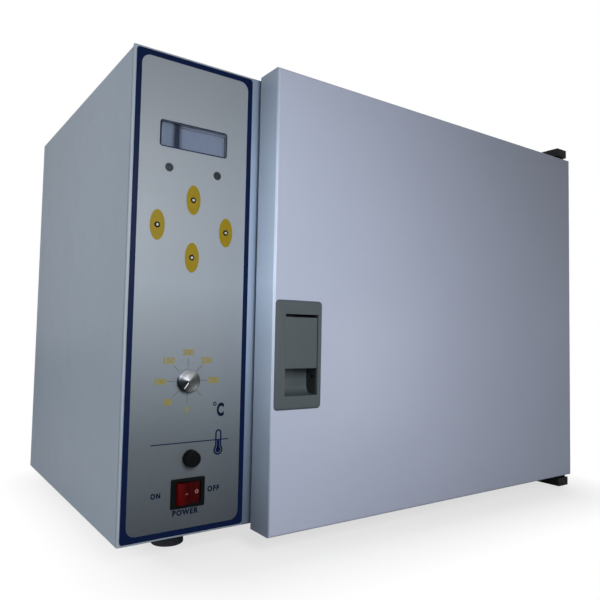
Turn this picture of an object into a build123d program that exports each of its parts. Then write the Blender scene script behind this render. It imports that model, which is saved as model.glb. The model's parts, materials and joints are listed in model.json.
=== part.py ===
from build123d import *
from math import cos, sin, radians
import os

# Dry heat sterilizer: a sheet-steel case with a control strip on the left, a heated
# chamber on the right and one insulated door hung between two bars. Millimetres.
# X runs left to right, Y front to back, Z up; the origin is under the middle of the
# whole, on the surface that the feet stand on.

os.makedirs("parts", exist_ok=True)

# Driving sizes.
case_width = 595.0
case_height = 420.0
case_depth = 350.0
case_sheet = 1.2
foot_height = 20.0
fit_gap = 0.2              # between nested sheets
seat_gap = 0.3             # between a part and what it rests in
running_gap = 0.05         # radial, pins and shafts in their bores
slide_gap = 0.3            # each side of a guided slide
overcut = 1.0              # how far a cutter runs past what it cuts

door_left = 121.3          # from the case's left side to the door's free edge
door_thickness = 33.5
door_stand_off = 3.0       # door's back to the fascia
door_drop = 3.0            # how far the door hangs below the case's bottom edge
door_lip = 14.0            # folded lip round the back of the door shell
door_edge_round = 3.0
door_front_round = 2.2

latch_proud = 1.5          # latch frame in front of the door
rear_proud = 8.0           # vent stub behind the case

# Frame of reference.
overall_depth = latch_proud + door_thickness + door_stand_off + case_depth + rear_proud
fascia_y = -overall_depth / 2 + latch_proud + door_thickness + door_stand_off
back_y = fascia_y + case_depth
door_back_y = fascia_y - door_stand_off
door_front_y = door_back_y - door_thickness
latch_face_y = door_front_y - latch_proud
case_bottom = foot_height
case_top = foot_height + case_height
case_mid_z = (case_bottom + case_top) / 2
case_right = case_width / 2


def from_left(distance):
    """X of a point this far from the case's left side."""
    return distance - case_width / 2


def behind(distance):
    """Y of a point this far behind the fascia; negative is in front of it."""
    return fascia_y + distance


def above(distance):
    """Z of a point this far above the case's bottom."""
    return case_bottom + distance


def front_plane(y):
    """Sketch plane that faces the front, with X to the right and Z up."""
    return Plane.XZ.offset(-y)


def side_plane(x):
    """Sketch plane that faces the right, with Y across and Z up."""
    return Plane.YZ.offset(x)


def block(x_range, y_range, z_range, mode=Mode.ADD):
    """Rectangular block between two limits along each axis."""
    ranges = (x_range, y_range, z_range)
    with Locations([tuple((low + high) / 2 for low, high in ranges)]):
        Box(*(high - low for low, high in ranges), mode=mode)


def round_bar(radius, start, end, mode=Mode.ADD):
    """Round bar from one point to another."""
    run = Vector(*end) - Vector(*start)
    with Locations(Plane(origin=start, z_dir=run).location):
        Cylinder(radius, run.length, align=(Align.CENTER, Align.CENTER, Align.MIN), mode=mode)


def across(centre, width):
    """Two limits, half a width each side of a centre."""
    return (centre - width / 2, centre + width / 2)


def finish(piece, label):
    """Name a finished piece and write it."""
    piece.part.label = label
    export_step(piece.part, f"parts/{label}.step")


# Control strip layout.
overlay_margin = 2.0
overlay_left = from_left(1.5)
overlay_right = from_left(115.0)
overlay_bottom = case_bottom + overlay_margin
overlay_top = case_top - overlay_margin
overlay_corner = 3.0
overlay_thickness = 0.6
overlay_front_y = behind(-overlay_thickness)

window_x = from_left(56.75)
window_z = above(348.0)
window_width = 62.9
window_height = 21.6
window_corner = 1.6

lamp_radius = 3.6
lamp_z = above(318.8)
lamp_spots = [from_left(33.8), from_left(80.1)]

key_cross_x = from_left(57.4)
key_cross_z = above(267.4)
key_reach_x = 32.8
key_reach_z = 25.7
key_hole_radius = 2.6
key_tip_radius = 1.4
key_spots = {
    "key_top": (key_cross_x, key_cross_z + key_reach_z),
    "key_bottom": (key_cross_x, key_cross_z - key_reach_z),
    "key_left": (key_cross_x - key_reach_x, key_cross_z),
    "key_right": (key_cross_x + key_reach_x, key_cross_z),
}

dial_x = from_left(57.0)
dial_z = above(133.5)
spindle_radius = 3.0
bushing_radius = 4.7
bushing_clearance = 0.3

cap_x = from_left(61.5)
cap_z = above(66.6)
neck_radius = 6.0
reset_pin_radius = 2.0

switch_x = from_left(60.1)
switch_z = above(37.2)
switch_body_width = 27.8
switch_body_height = 21.4
switch_cutout_gap = 0.2

# Latch layout.
latch_slot_x = from_left(137.5)
latch_slot_width = 7.0
tongue_width = 5.0
tongue_height = 6.0
tongue_bottom = above(152.0)
tongue_top = tongue_bottom + tongue_height
hook_rise = 5.0
hook_slope = 3.5
bolt_travel = 6.8
slot_gap = 1.0
latch_slot_bottom = tongue_bottom - bolt_travel - slot_gap
latch_slot_top = tongue_top + slot_gap

# Chamber layout.
chamber_side_wall = 44.0     # from the case's right side to the chamber
chamber_end_wall = 45.0      # under and over the chamber
chamber_rear_wall = 80.0
chamber_left = from_left(165.0)
chamber_right = case_right - chamber_side_wall
chamber_floor = case_bottom + chamber_end_wall
chamber_roof = case_top - chamber_end_wall
chamber_depth = case_depth - chamber_rear_wall
chamber_corner = 6.0
liner_sheet = 0.8
liner_flange = 14.0
liner_front_y = behind(case_sheet)
liner_back_y = liner_front_y + chamber_depth + liner_sheet
chamber_x = (chamber_left + chamber_right) / 2
chamber_z = (chamber_floor + chamber_roof) / 2
chamber_width = chamber_right - chamber_left
chamber_height = chamber_roof - chamber_floor

heater_radius = 4.2
heater_first_y = behind(45.0)
heater_last_y = liner_back_y - 68.0
heater_runs = 4
heater_pitch = (heater_last_y - heater_first_y) / (heater_runs - 1)
heater_z = chamber_floor + 12.0
heater_left = chamber_left + 12.0
heater_right = chamber_right - 8.0
heater_tail_x = from_left(119.0)
heater_rows = [heater_first_y + run * heater_pitch for run in range(heater_runs)]

probe_radius = 2.5
probe_y = liner_back_y - 25.0
probe_z = chamber_roof - 45.0
probe_tail_x = heater_tail_x
probe_reach = 60.0

capillary_radius = 1.0
bulb_radius = 3.0
bulb_length = 80.0
bulb_x = chamber_left + bulb_radius + 3.0
bulb_lead = 16.0           # capillary rising to the bulb's lower end
thermostat_bulb_y = liner_back_y - 32.0
limiter_bulb_y = liner_back_y - 17.0
limiter_entry_z = above(150.0)

vent_x = chamber_right - 96.0
vent_z = chamber_roof - 35.0
vent_radius = 12.5
vent_wall = 1.0

partition_x = from_left(127.0)
inner_flange = 12.0        # joggled flange behind the front frame
frame_rim = 4.0            # depth of the front frame's outer rim
frame_bend = 1.5
seam = 0.6                 # groove between the front frame and the wrap
nest = case_sheet + fit_gap
flange_end_y = behind(case_sheet + inner_flange)

# Feet and hinge layout.
foot_inset_x = 64.0
foot_inset_y = 50.0
foot_spots = [(x, y)
              for x in (from_left(foot_inset_x), case_right - foot_inset_x)
              for y in (behind(foot_inset_y), back_y - foot_inset_y)]
foot_screw_radius = 2.0
screw_hole_gap = 0.1

hinge_x = case_right - 12.0
hinge_y = door_front_y + 10.5
hinge_pin_radius = 4.0
bush_wall = 2.0
bush_flange_radius = 7.5
bush_length = 18.0
bracket_centre_x = case_right - 15.25
bracket_width = 21.5
bracket_front_y = door_front_y + 1.5
bracket_back_y = behind(45.0)
bracket_bar = 10.0
hinge_gap = 3.0            # between the door's end and the bar
bracket_screw_radius = 2.2
bracket_screw_spots = [behind(14.0), behind(34.0)]
door_top = case_top
door_bottom = case_bottom - door_drop

# Rear screws.
lip_width = 14.0
rear_screw_radius = 1.9
side_screw_rows = 4
top_screw_columns = 4
flange_room = 1.0          # keeps the side screws off the back panel's flanges
side_screw_x = case_right - lip_width / 2 - flange_room
side_screw_z = [case_bottom + case_height * (row + 0.5) / side_screw_rows
                for row in range(side_screw_rows)]
top_screw_x = [case_width * ((column + 0.5) / top_screw_columns - 0.5)
               for column in range(top_screw_columns)]
rear_screw_spots = [(side * side_screw_x, z) for side in (-1, 1) for z in side_screw_z]
rear_screw_spots += [(x, case_top - lip_width / 2) for x in top_screw_x]

inlet_x = switch_x
inlet_z = above(60.0)
inlet_body_width = 27.4
inlet_body_height = 20.0
inlet_screw_pitch = 40.0
inlet_screw_spots = [(inlet_x + side * inlet_screw_pitch / 2, inlet_z) for side in (-1, 1)]

# ================================================================ case
wrap_front_y = behind(frame_rim + seam)
wrap_bend = 2.5

with BuildPart() as outer_wrap:
    block(across(0, case_width), (wrap_front_y, back_y), (case_bottom, case_top))
    fillet(outer_wrap.edges().filter_by(Axis.Y).group_by(Axis.Z)[-1], radius=wrap_bend)
    open_sides = [outer_wrap.faces().sort_by(Axis.Y)[0], outer_wrap.faces().sort_by(Axis.Z)[0]]
    offset(amount=-case_sheet, openings=open_sides)
    block(across(0, case_width - 2 * lip_width), (back_y - lip_width, back_y + case_sheet),
          (case_bottom - case_sheet, case_top - lip_width), mode=Mode.SUBTRACT)
    for x, z in rear_screw_spots:
        round_bar(rear_screw_radius + screw_hole_gap, (x, back_y - lip_width / 2, z),
                  (x, back_y + case_sheet, z), mode=Mode.SUBTRACT)
    for y in bracket_screw_spots:
        round_bar(bracket_screw_radius + screw_hole_gap, (bracket_centre_x, y, case_top - lip_width),
                  (bracket_centre_x, y, case_top + case_sheet), mode=Mode.SUBTRACT)
finish(outer_wrap, "outer_wrap")

pan_half = case_right - nest
pan_flange = 15.0
pan_slot_length = 60.0
pan_slot_width = 3.5
pan_slot_pitch = 9.0
pan_slot_rows = 14
pan_floor_z = case_bottom + case_sheet

with BuildPart() as base_pan:
    block(across(0, 2 * pan_half), (wrap_front_y, back_y - nest), (case_bottom, pan_floor_z))
    for side in (-1, 1):
        block(across(side * (pan_half - case_sheet / 2), case_sheet),
              (flange_end_y + fit_gap, back_y - lip_width), (case_bottom, case_bottom + pan_flange))
    with BuildSketch(Plane.XY.offset(case_bottom)):
        with Locations(((from_left(0) + partition_x) / 2, behind(case_depth / 2))):
            with GridLocations(0, pan_slot_pitch, 1, pan_slot_rows):
                SlotOverall(pan_slot_length, pan_slot_width)
    extrude(amount=case_sheet, mode=Mode.SUBTRACT)
    for x, y in foot_spots:
        round_bar(foot_screw_radius + screw_hole_gap, (x, y, case_bottom - case_sheet),
                  (x, y, case_bottom + pan_flange), mode=Mode.SUBTRACT)
    for y in bracket_screw_spots:
        round_bar(bracket_screw_radius + screw_hole_gap,
                  (bracket_centre_x, y, case_bottom - case_sheet),
                  (bracket_centre_x, y, case_bottom + pan_flange), mode=Mode.SUBTRACT)
finish(base_pan, "base_pan")

panel_inset = case_sheet + wrap_bend
panel_front_y = back_y - 2 * case_sheet
panel_back_y = back_y - case_sheet
panel_flange = 12.0
louvre_length = 70.0
louvre_width = 3.5
louvre_pitch = 9.0
louvre_rows = 12
louvre_x = (from_left(0) + partition_x) / 2
louvre_z = case_top - 120.0

with BuildPart() as back_panel:
    block(across(0, case_width - 2 * panel_inset), (panel_front_y, panel_back_y),
          (pan_floor_z, case_top - panel_inset))
    block(across(0, case_width - 2 * panel_inset), (panel_front_y - panel_flange, panel_back_y),
          (pan_floor_z, pan_floor_z + case_sheet))
    for side in (-1, 1):
        block(across(side * (case_right - panel_inset - case_sheet / 2), case_sheet),
              (panel_front_y - panel_flange, panel_back_y), (pan_floor_z, case_top - panel_inset))
    with BuildSketch(front_plane(panel_front_y)):
        with Locations((louvre_x, louvre_z)):
            with GridLocations(0, louvre_pitch, 1, louvre_rows):
                SlotOverall(louvre_length, louvre_width)
        with Locations((inlet_x, inlet_z)):
            Rectangle(inlet_body_width + 2 * fit_gap, inlet_body_height + 2 * fit_gap)
        with Locations((vent_x, vent_z)):
            Circle(vent_radius + fit_gap)
        with Locations(*rear_screw_spots, *inlet_screw_spots):
            Circle(rear_screw_radius + screw_hole_gap)
    extrude(amount=-case_sheet, mode=Mode.SUBTRACT)
finish(back_panel, "back_panel")

# Holes that the front frame and the overlay share.
with BuildSketch(front_plane(overlay_front_y)) as control_cutouts:
    with Locations((window_x, window_z)):
        RectangleRounded(window_width, window_height, window_corner)
    with Locations(*[(x, lamp_z) for x in lamp_spots]):
        Circle(lamp_radius + fit_gap)
    with Locations(*key_spots.values()):
        Circle(key_hole_radius)
    with Locations((dial_x, dial_z)):
        Circle(bushing_radius + bushing_clearance)
    with Locations((cap_x, cap_z)):
        Circle(neck_radius + fit_gap)
    with Locations((switch_x, switch_z)):
        Rectangle(switch_body_width + 2 * switch_cutout_gap,
                  switch_body_height + 2 * switch_cutout_gap)

# The slot that the latch hook passes, shared by the frame and the striker plate.
with BuildSketch(front_plane(overlay_front_y)) as latch_slot:
    with Locations((latch_slot_x, (latch_slot_bottom + latch_slot_top) / 2)):
        Rectangle(latch_slot_width, latch_slot_top - latch_slot_bottom)

striker_screw_radius = 1.5
striker_screw_spots = [(latch_slot_x, latch_slot_bottom - 6.0), (latch_slot_x, latch_slot_top + 6.0)]
cut_through = frame_rim + case_sheet

with BuildPart() as front_frame:
    block(across(0, case_width), (fascia_y, behind(frame_rim)), (case_bottom, case_top))
    fillet(front_frame.faces().sort_by(Axis.Y)[0].edges(), radius=frame_bend)
    offset(amount=-case_sheet, openings=[front_frame.faces().sort_by(Axis.Y)[-1]])
    with BuildSketch(front_plane(behind(case_sheet / 2))):
        with Locations((0, case_mid_z)):
            RectangleRounded(case_width - 2 * nest, case_height - 2 * nest, wrap_bend - nest)
            Rectangle(case_width - 2 * nest - 2 * case_sheet,
                      case_height - 2 * nest - 2 * case_sheet, mode=Mode.SUBTRACT)
    extrude(amount=-(inner_flange + case_sheet / 2))
    with BuildSketch(front_plane(overlay_front_y)):
        with Locations((chamber_x, chamber_z)):
            RectangleRounded(chamber_width, chamber_height, chamber_corner)
        with Locations(*striker_screw_spots):
            Circle(striker_screw_radius + screw_hole_gap)
    extrude(amount=-cut_through, mode=Mode.SUBTRACT)
    extrude(control_cutouts.sketch, amount=-cut_through, mode=Mode.SUBTRACT)
    extrude(latch_slot.sketch, amount=-cut_through, mode=Mode.SUBTRACT)
    for y in bracket_screw_spots:
        round_bar(bracket_screw_radius + screw_hole_gap,
                  (bracket_centre_x, y, case_bottom - case_sheet),
                  (bracket_centre_x, y, case_top + case_sheet), mode=Mode.SUBTRACT)
finish(front_frame, "front_frame")

with BuildPart() as control_overlay:
    with BuildSketch(front_plane(fascia_y)):
        with Locations(((overlay_left + overlay_right) / 2, (overlay_bottom + overlay_top) / 2)):
            RectangleRounded(overlay_right - overlay_left, overlay_top - overlay_bottom,
                             overlay_corner)
    extrude(amount=overlay_thickness)
    extrude(control_cutouts.sketch, amount=-cut_through, mode=Mode.SUBTRACT)
finish(control_overlay, "control_overlay")

partition_top = case_top - nest - case_sheet - fit_gap
partition_flange = 9.0
thermostat_entry_z = dial_z
capillary_entries = [(thermostat_bulb_y, thermostat_entry_z), (limiter_bulb_y, limiter_entry_z)]


def cross_wall_holes(x_range, extra):
    """Holes for the heater ends, the capillaries and the probe through an upright wall."""
    low, high = x_range
    for y in (heater_rows[0], heater_rows[-1]):
        round_bar(heater_radius + extra, (low, y, heater_z), (high, y, heater_z), Mode.SUBTRACT)
    for y, z in capillary_entries:
        round_bar(capillary_radius + extra, (low, y, z), (high, y, z), Mode.SUBTRACT)
    round_bar(probe_radius + extra, (low, probe_y, probe_z), (high, probe_y, probe_z),
              Mode.SUBTRACT)


with BuildPart() as bay_partition:
    block((partition_x, partition_x + case_sheet),
          (flange_end_y + fit_gap, panel_front_y - panel_flange), (pan_floor_z, partition_top))
    block((partition_x - partition_flange, partition_x),
          (flange_end_y + fit_gap, panel_front_y - panel_flange),
          (pan_floor_z, pan_floor_z + case_sheet))
    cross_wall_holes((partition_x - case_sheet, partition_x + 2 * case_sheet), seat_gap)
finish(bay_partition, "bay_partition")

# ================================================================ chamber
with BuildPart() as chamber_liner:
    with BuildSketch(front_plane(liner_front_y)):
        with Locations((chamber_x, chamber_z)):
            RectangleRounded(chamber_width + 2 * liner_sheet, chamber_height + 2 * liner_sheet,
                             chamber_corner + liner_sheet)
    extrude(amount=-(chamber_depth + liner_sheet))
    with BuildSketch(front_plane(liner_front_y)):
        with Locations((chamber_x, chamber_z)):
            RectangleRounded(chamber_width + 2 * liner_flange, chamber_height + 2 * liner_flange,
                             chamber_corner)
    extrude(amount=-liner_sheet)
    with BuildSketch(front_plane(liner_front_y)):
        with Locations((chamber_x, chamber_z)):
            RectangleRounded(chamber_width, chamber_height, chamber_corner)
    extrude(amount=-chamber_depth, mode=Mode.SUBTRACT)
    cross_wall_holes((chamber_left - 2 * liner_sheet, chamber_left + liner_sheet), fit_gap)
    round_bar(vent_radius + fit_gap, (vent_x, liner_back_y - 2 * liner_sheet, vent_z),
              (vent_x, liner_back_y + liner_sheet, vent_z), mode=Mode.SUBTRACT)
finish(chamber_liner, "chamber_liner")

jacket_left = partition_x + case_sheet + 0.8
jacket_right = case_right - 4.0
jacket_bottom = above(3.5)
jacket_top = case_top - 4.0
jacket_front_y = behind(18.0)
jacket_back_y = back_y - 20.0

with BuildPart() as insulation_jacket:
    block((jacket_left, jacket_right), (jacket_front_y, jacket_back_y),
          (jacket_bottom, jacket_top))
    block((chamber_left - liner_sheet - seat_gap, chamber_right + liner_sheet + seat_gap),
          (jacket_front_y - seat_gap, liner_back_y + seat_gap),
          (chamber_floor - liner_sheet - seat_gap, chamber_roof + liner_sheet + seat_gap),
          mode=Mode.SUBTRACT)
    cross_wall_holes((jacket_left - case_sheet, chamber_left), 2 * seat_gap)
    round_bar(vent_radius + seat_gap, (vent_x, liner_back_y, vent_z),
              (vent_x, back_y, vent_z), mode=Mode.SUBTRACT)
finish(insulation_jacket, "insulation_jacket")

rack_sheet = 1.5
ledge_reach = 12.0
ledge_levels = 5
ledge_end_room = 65.0      # from the chamber's floor and roof to the nearest ledge
ledge_first_z = chamber_floor + ledge_end_room
ledge_last_z = chamber_roof - ledge_end_room
ledge_pitch = (ledge_last_z - ledge_first_z) / (ledge_levels - 1)
ledge_front_y = behind(20.0)
ledge_back_y = liner_back_y - 44.0
rack_post_width = 15.0
rack_post_inset = 28.0
rack_post_rows = [ledge_front_y + rack_post_inset, ledge_back_y - rack_post_inset]
rack_overrun = 30.0
rack_bottom = ledge_first_z - rack_overrun
rack_top = ledge_last_z + rack_overrun
ledge_tops = [ledge_first_z + level * ledge_pitch for level in range(ledge_levels)]

with BuildPart() as shelf_racks:
    for wall_x, inward in ((chamber_left + fit_gap, 1), (chamber_right - fit_gap, -1)):
        post_x = sorted((wall_x, wall_x + inward * rack_sheet))
        ledge_x = sorted((wall_x, wall_x + inward * ledge_reach))
        for post_y in rack_post_rows:
            block(post_x, across(post_y, rack_post_width), (rack_bottom, rack_top))
        for ledge_z in ledge_tops:
            block(ledge_x, (ledge_front_y, ledge_back_y), (ledge_z - rack_sheet, ledge_z))
finish(shelf_racks, "shelf_racks")

shelf_wire_radius = 2.5
grid_wire_radius = 1.5
grid_wires = 16
shelf_corner = 12.0
shelf_side_gap = 3.5
shelf_front_y = behind(16.0)
shelf_back_y = ledge_back_y - 2.0
wire_bite = 0.5            # how deep the welded grid wires sink into the frame wire


def wire_shelf(label, ledge_z):
    """Rim wire with grid wires laid across it, resting on a pair of ledges."""
    rim_z = ledge_z + fit_gap + shelf_wire_radius
    left = chamber_left + shelf_side_gap + shelf_wire_radius
    right = chamber_right - shelf_side_gap - shelf_wire_radius
    front = shelf_front_y + shelf_wire_radius
    rear = shelf_back_y - shelf_wire_radius
    corners = [(left, front, rim_z), (right, front, rim_z), (right, rear, rim_z),
               (left, rear, rim_z)]
    grid_z = rim_z + shelf_wire_radius + grid_wire_radius - wire_bite
    pitch = (right - left) / (grid_wires + 1)
    with BuildPart() as shelf:
        with BuildLine() as rim:
            FilletPolyline(*corners, radius=shelf_corner, close=True)
        with BuildSketch(Plane(origin=rim.line @ 0, z_dir=rim.line % 0)):
            Circle(shelf_wire_radius)
        sweep(path=rim.line)
        for wire in range(1, grid_wires + 1):
            x = left + wire * pitch
            round_bar(grid_wire_radius, (x, front - shelf_wire_radius, grid_z),
                      (x, rear + shelf_wire_radius, grid_z))
    finish(shelf, label)


wire_shelf("lower_shelf", ledge_tops[1])
wire_shelf("upper_shelf", ledge_tops[3])

floor_plate_top = chamber_floor + 27.0
floor_plate_sheet = 1.0
floor_plate_side = 4.0
floor_plate_front_y = behind(8.0)
floor_plate_back_y = liner_back_y - 40.0
floor_slot_length = 28.0
floor_slot_width = 4.0
floor_slot_columns = 9
floor_slot_rows = 12
floor_slot_pitch_x = 40.0
floor_slot_pitch_y = 17.0
floor_plate_y = (floor_plate_front_y + floor_plate_back_y) / 2

with BuildPart() as floor_plate:
    plate_x = (chamber_left + floor_plate_side, chamber_right - floor_plate_side)
    block(plate_x, (floor_plate_front_y, floor_plate_back_y),
          (floor_plate_top - floor_plate_sheet, floor_plate_top))
    for leg_y in (floor_plate_front_y, floor_plate_back_y - floor_plate_sheet):
        block((plate_x[0] + chamber_corner, plate_x[1] - chamber_corner),
              (leg_y, leg_y + floor_plate_sheet), (chamber_floor + fit_gap, floor_plate_top))
    with BuildSketch(Plane.XY.offset(floor_plate_top)):
        with Locations((chamber_x, floor_plate_y)):
            with GridLocations(floor_slot_pitch_x, floor_slot_pitch_y,
                               floor_slot_columns, floor_slot_rows):
                SlotOverall(floor_slot_length, floor_slot_width)
    extrude(amount=-floor_plate_sheet, mode=Mode.SUBTRACT)
finish(floor_plate, "floor_plate")

heater_bend = (heater_pitch - 1.0) / 2
heater_corners = [(heater_tail_x, heater_rows[0], heater_z)]
for run, row_y in enumerate(heater_rows[:-1]):
    turn_x = heater_right if run % 2 == 0 else heater_left
    heater_corners += [(turn_x, row_y, heater_z), (turn_x, heater_rows[run + 1], heater_z)]
heater_corners.append((heater_tail_x, heater_rows[-1], heater_z))

with BuildPart() as heater_element:
    with BuildLine() as heater_path:
        FilletPolyline(*heater_corners, radius=heater_bend)
    with BuildSketch(Plane(origin=heater_path.line @ 0, z_dir=heater_path.line % 0)):
        Circle(heater_radius)
    sweep(path=heater_path.line)
finish(heater_element, "heater_element")

support_sheet = 1.5
support_columns = [chamber_x - 90.0, chamber_x + 90.0]
support_margin = 14.0

with BuildPart() as heater_supports:
    for support_x in support_columns:
        block(across(support_x, support_sheet),
              (heater_rows[0] - support_margin, heater_rows[-1] + support_margin),
              (chamber_floor + fit_gap, heater_z + heater_radius + 3.0))
        for row_y in heater_rows:
            round_bar(heater_radius + fit_gap, (support_x - support_sheet, row_y, heater_z),
                      (support_x + support_sheet, row_y, heater_z), mode=Mode.SUBTRACT)
finish(heater_supports, "heater_supports")

probe_nut_radius = 6.0
probe_nut_height = 5.0

with BuildPart() as temperature_probe:
    round_bar(probe_radius, (probe_tail_x, probe_y, probe_z),
              (chamber_left + probe_reach, probe_y, probe_z))
    with BuildSketch(Plane(origin=(chamber_left + fit_gap, probe_y, probe_z), z_dir=(1, 0, 0))):
        RegularPolygon(probe_nut_radius, 6)
    extrude(amount=probe_nut_height)
finish(temperature_probe, "temperature_probe")


def capillary_run(corners, bends, bulb_start):
    """Fine tube along its route, ending in an upright bulb."""
    with BuildPart() as run:
        with BuildLine() as route:
            FilletPolyline(*corners, radius=bends)
        with BuildSketch(Plane(origin=route.line @ 0, z_dir=route.line % 0)):
            Circle(capillary_radius)
        sweep(path=route.line)
        bulb_x_here, bulb_y_here, bulb_z_here = bulb_start
        round_bar(bulb_radius, bulb_start, (bulb_x_here, bulb_y_here, bulb_z_here + bulb_length))
    return run.part


thermostat_back_y = behind(38.0)
limiter_back_y = behind(30.0)
wall_bend = 4.0
bay_bend = 12.0

thermostat_route = [
    (dial_x, thermostat_back_y, dial_z),
    (dial_x, thermostat_bulb_y, dial_z),
    (bulb_x, thermostat_bulb_y, thermostat_entry_z),
    (bulb_x, thermostat_bulb_y, thermostat_entry_z + bulb_lead),
]
limiter_route = [
    (cap_x, limiter_back_y, cap_z),
    (cap_x, limiter_bulb_y, cap_z),
    (cap_x, limiter_bulb_y, limiter_entry_z),
    (bulb_x, limiter_bulb_y, limiter_entry_z),
    (bulb_x, limiter_bulb_y, limiter_entry_z + bulb_lead),
]

with BuildPart() as capillary_tubes:
    add(capillary_run(thermostat_route, (bay_bend, wall_bend), thermostat_route[-1]))
    add(capillary_run(limiter_route, (bay_bend, bay_bend, wall_bend), limiter_route[-1]))
finish(capillary_tubes, "capillary_tubes")

vent_inner_end_y = liner_back_y - liner_sheet - 3.0
vent_collar_radius = 20.0
vent_collar = 1.5

with BuildPart() as vent_tube:
    round_bar(vent_radius, (vent_x, vent_inner_end_y, vent_z),
              (vent_x, back_y + rear_proud, vent_z))
    round_bar(vent_collar_radius, (vent_x, panel_back_y, vent_z),
              (vent_x, panel_back_y + vent_collar, vent_z))
    round_bar(vent_radius - vent_wall, (vent_x, vent_inner_end_y - vent_wall, vent_z),
              (vent_x, back_y + rear_proud + vent_wall, vent_z), mode=Mode.SUBTRACT)
finish(vent_tube, "vent_tube")

# ================================================================ control strip
lens_thickness = 1.5
lens_margin = 4.0
lens_back_y = behind(case_sheet + lens_thickness)

with BuildPart() as display_lens:
    block(across(window_x, window_width + 2 * lens_margin), (behind(case_sheet), lens_back_y),
          across(window_z, window_height + 2 * lens_margin))
finish(display_lens, "display_lens")

board_front_y = behind(14.0)
board_thickness = 1.6
board_x = (from_left(10.0), from_left(106.0))
board_z = (above(228.0), above(378.0))
module_x = (from_left(22.0), from_left(105.0))
module_height = 36.0
module_board_front_y = behind(11.0)
bezel_x = (from_left(27.0), from_left(102.0))
bezel_height = 26.0
bezel_front_y = lens_back_y + seat_gap
glass_x = (from_left(43.5), from_left(99.0))
glass_height = 18.0
glass_recess = 1.5
header_size = 3.0

with BuildPart() as display_module:
    block(module_x, (module_board_front_y, module_board_front_y + board_thickness),
          across(window_z, module_height))
    block(bezel_x, (bezel_front_y, module_board_front_y), across(window_z, bezel_height))
    block(glass_x, (bezel_front_y, bezel_front_y + glass_recess),
          across(window_z, glass_height), mode=Mode.SUBTRACT)
    for header_x in module_x:
        inner_x = header_x + header_size if header_x == module_x[0] else header_x - header_size
        block(across(inner_x, header_size), (module_board_front_y, board_front_y),
              across(window_z, module_height - 2 * header_size))
finish(display_module, "display_module")

spacer_inset = 4.0
spacer_radius = 3.0
transformer_x = from_left(52.0)
transformer_z = above(305.0)
supply_plug_x = from_left(24.0)
probe_plug_x = from_left(90.0)
plug_z = above(245.0)
plug_back_y = behind(26.0)
plug_width = 18.0
plug_height = 10.0
transformer_width = 42.0
transformer_height = 36.0
transformer_back_y = behind(48.0)

with BuildPart() as control_board:
    block(board_x, (board_front_y, board_front_y + board_thickness), board_z)
    block(across(transformer_x, transformer_width),
          (board_front_y + board_thickness, transformer_back_y),
          across(transformer_z, transformer_height))
    for plug_x in (supply_plug_x, probe_plug_x):
        block(across(plug_x, plug_width), (board_front_y + board_thickness, plug_back_y),
              across(plug_z, plug_height))
finish(control_board, "control_board")

with BuildPart() as board_spacers:
    with BuildSketch(front_plane(behind(case_sheet))):
        with Locations(*[(x, z)
                         for x in (board_x[0] + spacer_inset, board_x[1] - spacer_inset)
                         for z in (board_z[0] + spacer_inset, board_z[1] - spacer_inset)]):
            RegularPolygon(spacer_radius, 6)
    extrude(amount=-(board_front_y - behind(case_sheet)))
finish(board_spacers, "board_spacers")

lamp_stem_radius = 2.5
lamp_proud = 0.5

with BuildPart() as indicator_lamps:
    for lamp_x in lamp_spots:
        round_bar(lamp_radius, (lamp_x, overlay_front_y - lamp_proud, lamp_z),
                  (lamp_x, behind(3.0), lamp_z))
        round_bar(lamp_stem_radius, (lamp_x, behind(3.0), lamp_z),
                  (lamp_x, board_front_y, lamp_z))
    fillet(indicator_lamps.edges().group_by(Axis.Y)[0], radius=lamp_proud * 0.8)
finish(indicator_lamps, "indicator_lamps")

switch_can = 12.0
switch_front_y = behind(6.0)
switch_front_wall = 0.8
plunger_collar_radius = 2.5
plunger_collar_y = (behind(7.1), behind(9.1))
plunger_room_radius = plunger_collar_radius + seat_gap
plunger_room_end_y = behind(12.0)
key_tip_proud = 0.4

with BuildPart() as key_switches:
    for key_x, key_z in key_spots.values():
        block(across(key_x, switch_can), (switch_front_y, board_front_y),
              across(key_z, switch_can))
        round_bar(key_tip_radius + running_gap, (key_x, switch_front_y - overcut, key_z),
                  (key_x, plunger_room_end_y, key_z), mode=Mode.SUBTRACT)
        round_bar(plunger_room_radius, (key_x, switch_front_y + switch_front_wall, key_z),
                  (key_x, plunger_room_end_y, key_z), mode=Mode.SUBTRACT)
finish(key_switches, "key_switches")

for key_name, (key_x, key_z) in key_spots.items():
    with BuildPart() as key:
        round_bar(key_tip_radius, (key_x, overlay_front_y - key_tip_proud, key_z),
                  (key_x, plunger_collar_y[1], key_z))
        fillet(key.edges().group_by(Axis.Y)[0], radius=key_tip_proud)
        round_bar(plunger_collar_radius, (key_x, plunger_collar_y[0], key_z),
                  (key_x, plunger_collar_y[1], key_z))
    finish(key, key_name)

thermostat_plate_y = behind(3.0)
thermostat_width = 36.0
thermostat_height = 40.0
thermostat_ears = 4.0      # mounting plate past the body, left and right
thermostat_step = 3.0      # body past the mounting plate, above and below
spindle_end_y = behind(14.0)
spindle_tip_y = behind(-4.2)

with BuildPart() as thermostat_body:
    block(across(dial_x, thermostat_width + 2 * thermostat_ears),
          (behind(case_sheet), thermostat_plate_y),
          across(dial_z, thermostat_height - 2 * thermostat_step))
    block(across(dial_x, thermostat_width), (thermostat_plate_y, thermostat_back_y),
          across(dial_z, thermostat_height))
    round_bar(bushing_radius, (dial_x, behind(-0.4), dial_z),
              (dial_x, thermostat_plate_y, dial_z))
    round_bar(spindle_radius + running_gap, (dial_x, behind(-overcut), dial_z),
              (dial_x, spindle_end_y + seat_gap, dial_z), mode=Mode.SUBTRACT)
finish(thermostat_body, "thermostat_body")

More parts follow.
